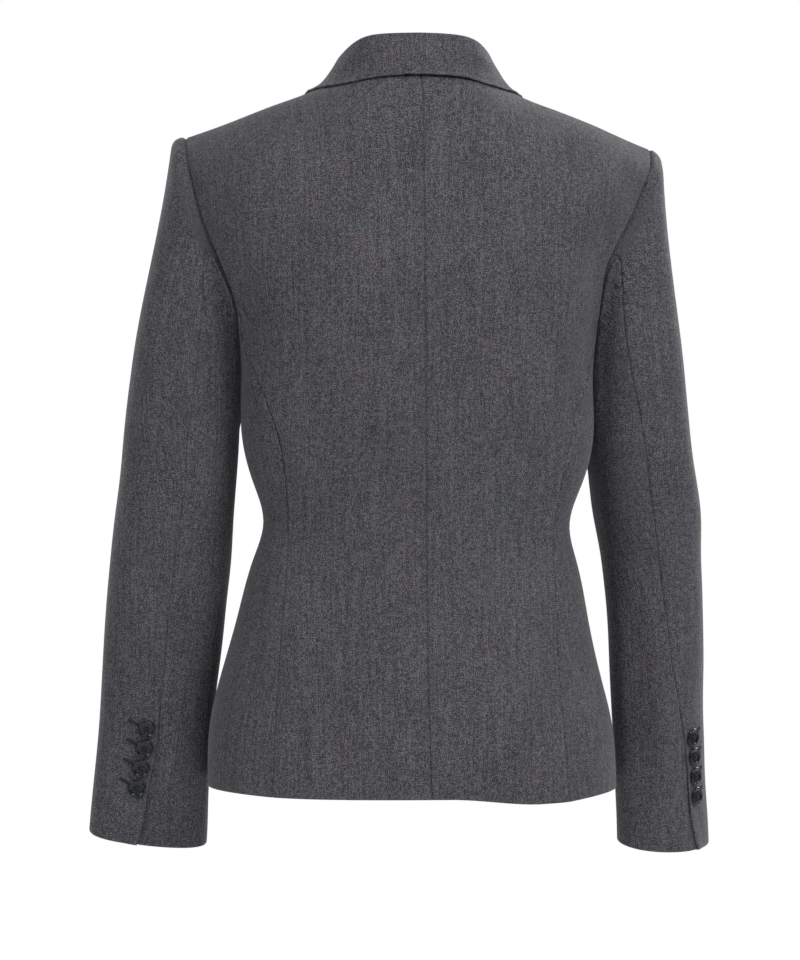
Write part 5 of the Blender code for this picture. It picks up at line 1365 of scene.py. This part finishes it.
def wool():
    """Charcoal melange suiting: short light and dark dashes both ways, a faint hue, and nap."""
    looks = Looks("melange_wool")
    grain = looks.add("Attribute", attribute_name="grain")["Vector"]
    upright = looks.dashes(grain, DASHES[0], DASHES[1], 1.0)
    across = looks.dashes(grain, DASHES[1], DASHES[0], 1.0)
    fibre = looks.noise(grain, FIBRES, 0.0)
    slubs = looks.noise(looks.scaled(grain, *SLUBS, 1.0), 1.0, 1.0)
    value = looks.math("MULTIPLY", upright, WOOL_SHARES[0])
    for layer, share in zip((across, fibre, slubs), WOOL_SHARES[1:]):
        value = looks.math("MULTIPLY_ADD", layer, share, value)
    colour = looks.ramp(value, WOOL_STOPS)
    tint = looks.ramp(looks.noise(grain, 55, 2.0), TINT_STOPS)
    colour = looks.mix("MULTIPLY", 1.0, colour, tint)
    cloudy = looks.range(looks.noise(grain, 16, 2.0), 0.3, 0.7, 0.94, 1.06)
    colour = looks.mix("MULTIPLY", 1.0, colour, cloudy)
    worn = looks.math("MULTIPLY", looks.add("Attribute", attribute_name="wear")["Fac"], 0.18)
    looks.to("Base Color", looks.mix("MIX", worn, colour, WORN_WOOL))
    looks.to("Roughness", looks.range(value, 0.3, 0.7, 0.92, 0.78))
    weave = looks.noise(looks.scaled(grain, WEAVE, WEAVE, 1.0), 1.0, 0.0)
    normal = looks.bump(weave, 0.25, 0.0003)
    looks.to("Normal", looks.bump(value, 0.55, 0.0006, Normal=normal))
    looks.set(Sheen_Weight=0.2, Sheen_Roughness=0.32, Sheen_Tint=(0.9, 0.9, 0.93, 1.0),
              Specular_IOR_Level=0.15)
    return looks.material


# How many to the metre: dashes across and along their way, fibres, slubs across and along, yarns
DASHES, FIBRES, SLUBS, WEAVE = (1250, 380), 1350, (420, 14), 1500
WOOL_SHARES = (0.14, 0.12, 0.62, 0.12)  # of upright dashes, level ones, fibres and slubs
WOOL_STOPS = (
    (0.33, (0.022, 0.022, 0.027)),
    (0.45, (0.050, 0.049, 0.056)),
    (0.55, (0.078, 0.0765, 0.086)),
    (0.67, (0.165, 0.162, 0.175)),
)
TINT_STOPS = (
    (0.36, (1.03, 0.985, 1.00)),
    (0.50, (0.99, 0.99, 1.01)),
    (0.64, (0.975, 1.015, 0.975)),
)
WORN_WOOL = (0.115, 0.113, 0.125, 1.0)


def horn():
    """Near-black polished plastic, faintly streaked."""
    looks = Looks("button_plastic")
    place = looks.add("TexCoord")["Object"]
    streaks = looks.specks(place, 260, 260, 900, detail=3.0)
    stops = (0.3, (0.0030, 0.0040, 0.0060)), (0.7, (0.0075, 0.0092, 0.0130))
    looks.to("Base Color", looks.ramp(streaks, stops))
    looks.to("Roughness", looks.range(streaks, 0.3, 0.7, 0.13, 0.22))
    looks.to("Normal", looks.bump(looks.specks(place, 2500, 2500, 2500), 0.06, 0.0001))
    looks.set(Specular_IOR_Level=0.42)
    return looks.material


def yarn():
    """Twisted sewing thread."""
    looks = Looks("thread")
    twist = looks.specks(looks.add("TexCoord")["Object"], 2200, 2200, 2200)
    stops = (0.35, (0.004, 0.0045, 0.006)), (0.65, (0.015, 0.0155, 0.019))
    looks.to("Base Color", looks.ramp(twist, stops))
    looks.to("Roughness", looks.range(twist, 0.3, 0.7, 0.65, 0.85))
    looks.to("Normal", looks.bump(twist, 0.5, 0.0002))
    looks.set(Sheen_Weight=0.1, Sheen_Roughness=0.5)
    return looks.material


def pale():
    looks = Looks("pale_floor")
    cloud = looks.noise(looks.add("TexCoord")["Object"], 1.5, 2.0, "3D")
    looks.to("Base Color", looks.ramp(cloud, ((0.3, (0.86,) * 3), (0.7, (0.89,) * 3))))
    looks.set(Roughness=0.9)
    return looks.material


# ---------------------------------------------------------------- the coat
def coat_pieces():
    """Every cloth piece, joined to its neighbours."""
    pieces = {}
    for name in SIDES:
        half = Half(name)
        back, side, front = body = back_panel(half), side_panel(half), front_panel(half)
        top, under = sleeve_pieces(half, body)
        open_vent(top, under)
        join(back, ("right", 0, LOWER_ROWS + 1), side, ("left",))
        join(side, ("right",), front, ("left", 0, LOWER_ROWS + 1))
        join(top, ("right",), under, ("left",))
        join(under, ("right",), top, ("left",))
        join_armhole(back, side, front, top, under)
        close_shoulder(back)
        close_shoulder(front)
        turned = lapel(half, front)
        clear_of(turned, [front])
        pieces |= {piece.name: piece for piece in (*body, top, under, turned)}
    join(pieces["back_left"], ("left",), pieces["back_right"], ("left",))
    body = [pieces[f"{part}_{name}"] for part in FACES for name in SIDES]
    pieces["collar"] = fall = collar(outer_tree(body))
    clear_of(fall, body, first_row=fall.grid.shape[0] - 1 - COLLAR_FALL_STEPS)
    return pieces


def join_armhole(back, side, front, top, under):
    """Mitres the body's edge round the armhole with the sleeve's, and draws both back."""
    steps_back, steps_under, steps_front = ARMHOLE_STEPS
    steps, columns = sum(ARMHOLE_STEPS), back.grid.shape[1]
    on_body, on_sleeve = ({step: [] for step in range(steps)} for _ in range(2))
    for step in range(steps_back + 1):
        on_body[step].append((back, (back.grid.shape[0] - 1 - step, columns - 1)))
    for step in range(steps_under + 1):
        on_body[steps_back + step].append((side, (LOWER_ROWS, step)))
    for step in range(steps_front + 1):
        place = (steps_back + steps_under + step) % steps
        on_body[place].append((front, (LOWER_ROWS + step, 0)))
    for sleeve, start in ((top, INNER_SEAM_STEP), (under, BACK_SEAM_STEP)):
        for column in range(sleeve.grid.shape[1]):
            spot = sleeve.grid.shape[0] - 1, column
            on_sleeve[(start + column) % steps].append((sleeve, spot))
    for groups in zip(on_body.values(), on_sleeve.values()):
        both = unit(sum(unit(sum(piece.out[spot] for piece, spot in group)) for group in groups))
        for piece, spot in groups[0] + groups[1]:
            piece.mitre(spot, both)
    back.trim("right", back.edge("right", LOWER_ROWS))
    front.trim("left", front.edge("left", LOWER_ROWS))
    for piece in (side, top, under):
        piece.trim("top", piece.edge("top"))


def close_shoulder(piece):
    """Stands the shoulder seam's cut upright on its ridge, and draws it back."""
    where = piece.edge("top")
    line = np.gradient(piece.grid[where], axis=0)
    line *= np.sign(line[:, :1])
    ridge = unit(np.stack([-line[:, 2], 0 * line[:, 0], line[:, 0]], -1))
    sewn = np.abs(piece.grid[where][:, 0]) > NECK_HALF - NECK_END
    piece.mitre((where[0][sewn], where[1][sewn]), ridge[sewn])
    piece.trim("top", where)


def rims_of(piece):
    """Each edge's groove, and how far it is turned. A seam has a groove, a free edge is turned."""
    part, _, side = piece.name.partition("_")
    seam, free, head = (SEAM_GROOVE, 0.0), (0.0, 1.0), (ARMHOLE_GROOVE, 0.0)
    rows = np.arange(piece.grid.shape[0])
    body = np.where(rows > LOWER_ROWS, ARMHOLE_GROOVE, SEAM_GROOVE), 0.0
    vent = lengths(piece.grid[:, -1]) < VENT_LONG
    sleeve = SLEEVE_GROOVE.get(side, 0.0) * ~vent
    edges = {
        # part: left, right, bottom, top
        "back": (seam, body, free, seam),
        "side": (seam, seam, free, head),
        "front": (body, free, free, seam),
        "topsleeve": (seam, (sleeve, 1.0 * vent), free, head),
        "undersleeve": ((sleeve, 0.0), seam, free, (UNDERARM_GROOVE, 0.0)),
        "lapel": (free, free, free, free),
        "collar": (free, free, seam, free),
    }[part]
    return dict(zip(("left", "right", "bottom", "top"), edges))


def build_coat(looks):
    pieces = coat_pieces()
    trims = {f"topsleeve_{name}": cuff(pieces[f"topsleeve_{name}"], name, looks) for name in SIDES}
    trims["front_right"] = front_buttons(pieces["front_right"], looks)
    for number, (name, piece) in enumerate(pieces.items()):
        part, _, side = name.partition("_")
        if part not in ("lapel", "collar"):
            piece.stretch *= np.where(lengths(piece.grid) < HEM_TURN_UP, HEM_DOUBLE, 1.0)
        thing = sew(piece, rims_of(piece), looks["wool"], number)
        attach(thing, "root")
        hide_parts(name)
        wide, long, area = flat_size(piece)
        print(f"FLAT {name} {wide * 1000:.0f} x {long * 1000:.0f} mm, {area * 1e4:.0f} cm2")


# ---------------------------------------------------------------- the studio
def studio(looks):
    scene, turn = bpy.context.scene, math.radians(CAMERA_TURN)
    camera = bpy.data.objects.new("camera", bpy.data.cameras.new("camera"))
    back = np.array([math.sin(turn), math.cos(turn)]) * CAMERA_AWAY
    aside = np.array([-math.cos(turn), math.sin(turn)]) * CAMERA_ASIDE
    camera.location = (*(back - aside), CAMERA_HEIGHT)
    camera.rotation_euler = (math.pi / 2, 0, math.pi - turn)
    camera.data.lens, camera.data.sensor_width = CAMERA_LENS, CAMERA_SENSOR
    camera.data.clip_start, camera.data.clip_end = CAMERA_CLIP
    scene.collection.objects.link(camera)
    scene.camera = camera
    for name, (place, size, power) in LAMPS.items():
        lamp = bpy.data.objects.new(name, bpy.data.lights.new(name, "AREA"))
        lamp.data.shape, lamp.data.size, lamp.data.energy = "DISK", size, power
        way = Vector(LIT) - Vector(place)
        lamp.location, lamp.rotation_euler = place, way.to_track_quat("-Z", "Y").to_euler()
        scene.collection.objects.link(lamp)
    world = bpy.data.worlds.new("white")
    world.use_nodes = True
    nodes, link_up = world.node_tree.nodes, world.node_tree.links.new
    nodes["Background"].inputs["Color"].default_value = (1, 1, 1, 1)
    path, shade = nodes.new("ShaderNodeLightPath"), nodes.new("ShaderNodeMapRange")
    shade.inputs["To Min"].default_value = ROOM_LIGHT
    link_up(path.outputs["Is Camera Ray"], shade.inputs["Value"])
    link_up(shade.outputs["Result"], nodes["Background"].inputs["Strength"])
    scene.world = world
    scene.view_settings.view_transform = "Standard"
    ring = [(*p, FLOOR_HEIGHT) for p in circle((0, 0), FLOOR_WIDE, FLOOR_SIDES)]
    link("floor", ring, [range(FLOOR_SIDES)], looks["floor"])


LIT = (0, 0, -0.35)  # what every lamp points at
LAMPS = {
    # name: place, size, power in watts
    "key": ((-1.6, 2.2, 2.0), 1.4, 65),
    "side": ((2.4, 2.0, 0.6), 1.4, 24),
    "edge": ((-3.0, 0.3, 0.6), 1.4, 16),
    "top": ((0.0, 0.8, 2.4), 1.4, 16.5),
    "camera_side": ((0.2, 3.4, 0.4), 1.4, 12),
    "front_key": ((-2.3, -2.3, 1.2), 1.6, 80),
    "front_fill": ((2.2, -2.4, 0.6), 1.8, 34),
}
ROOM_LIGHT = 0.20  # how bright the white room is as a light; it is seen at 1
FLOOR_WIDE = 4.0
FLOOR_SIDES = 96


finishes = {"wool": wool(), "button": horn(), "thread": yarn(), "floor": pale()}
build_coat(finishes)
studio(finishes)
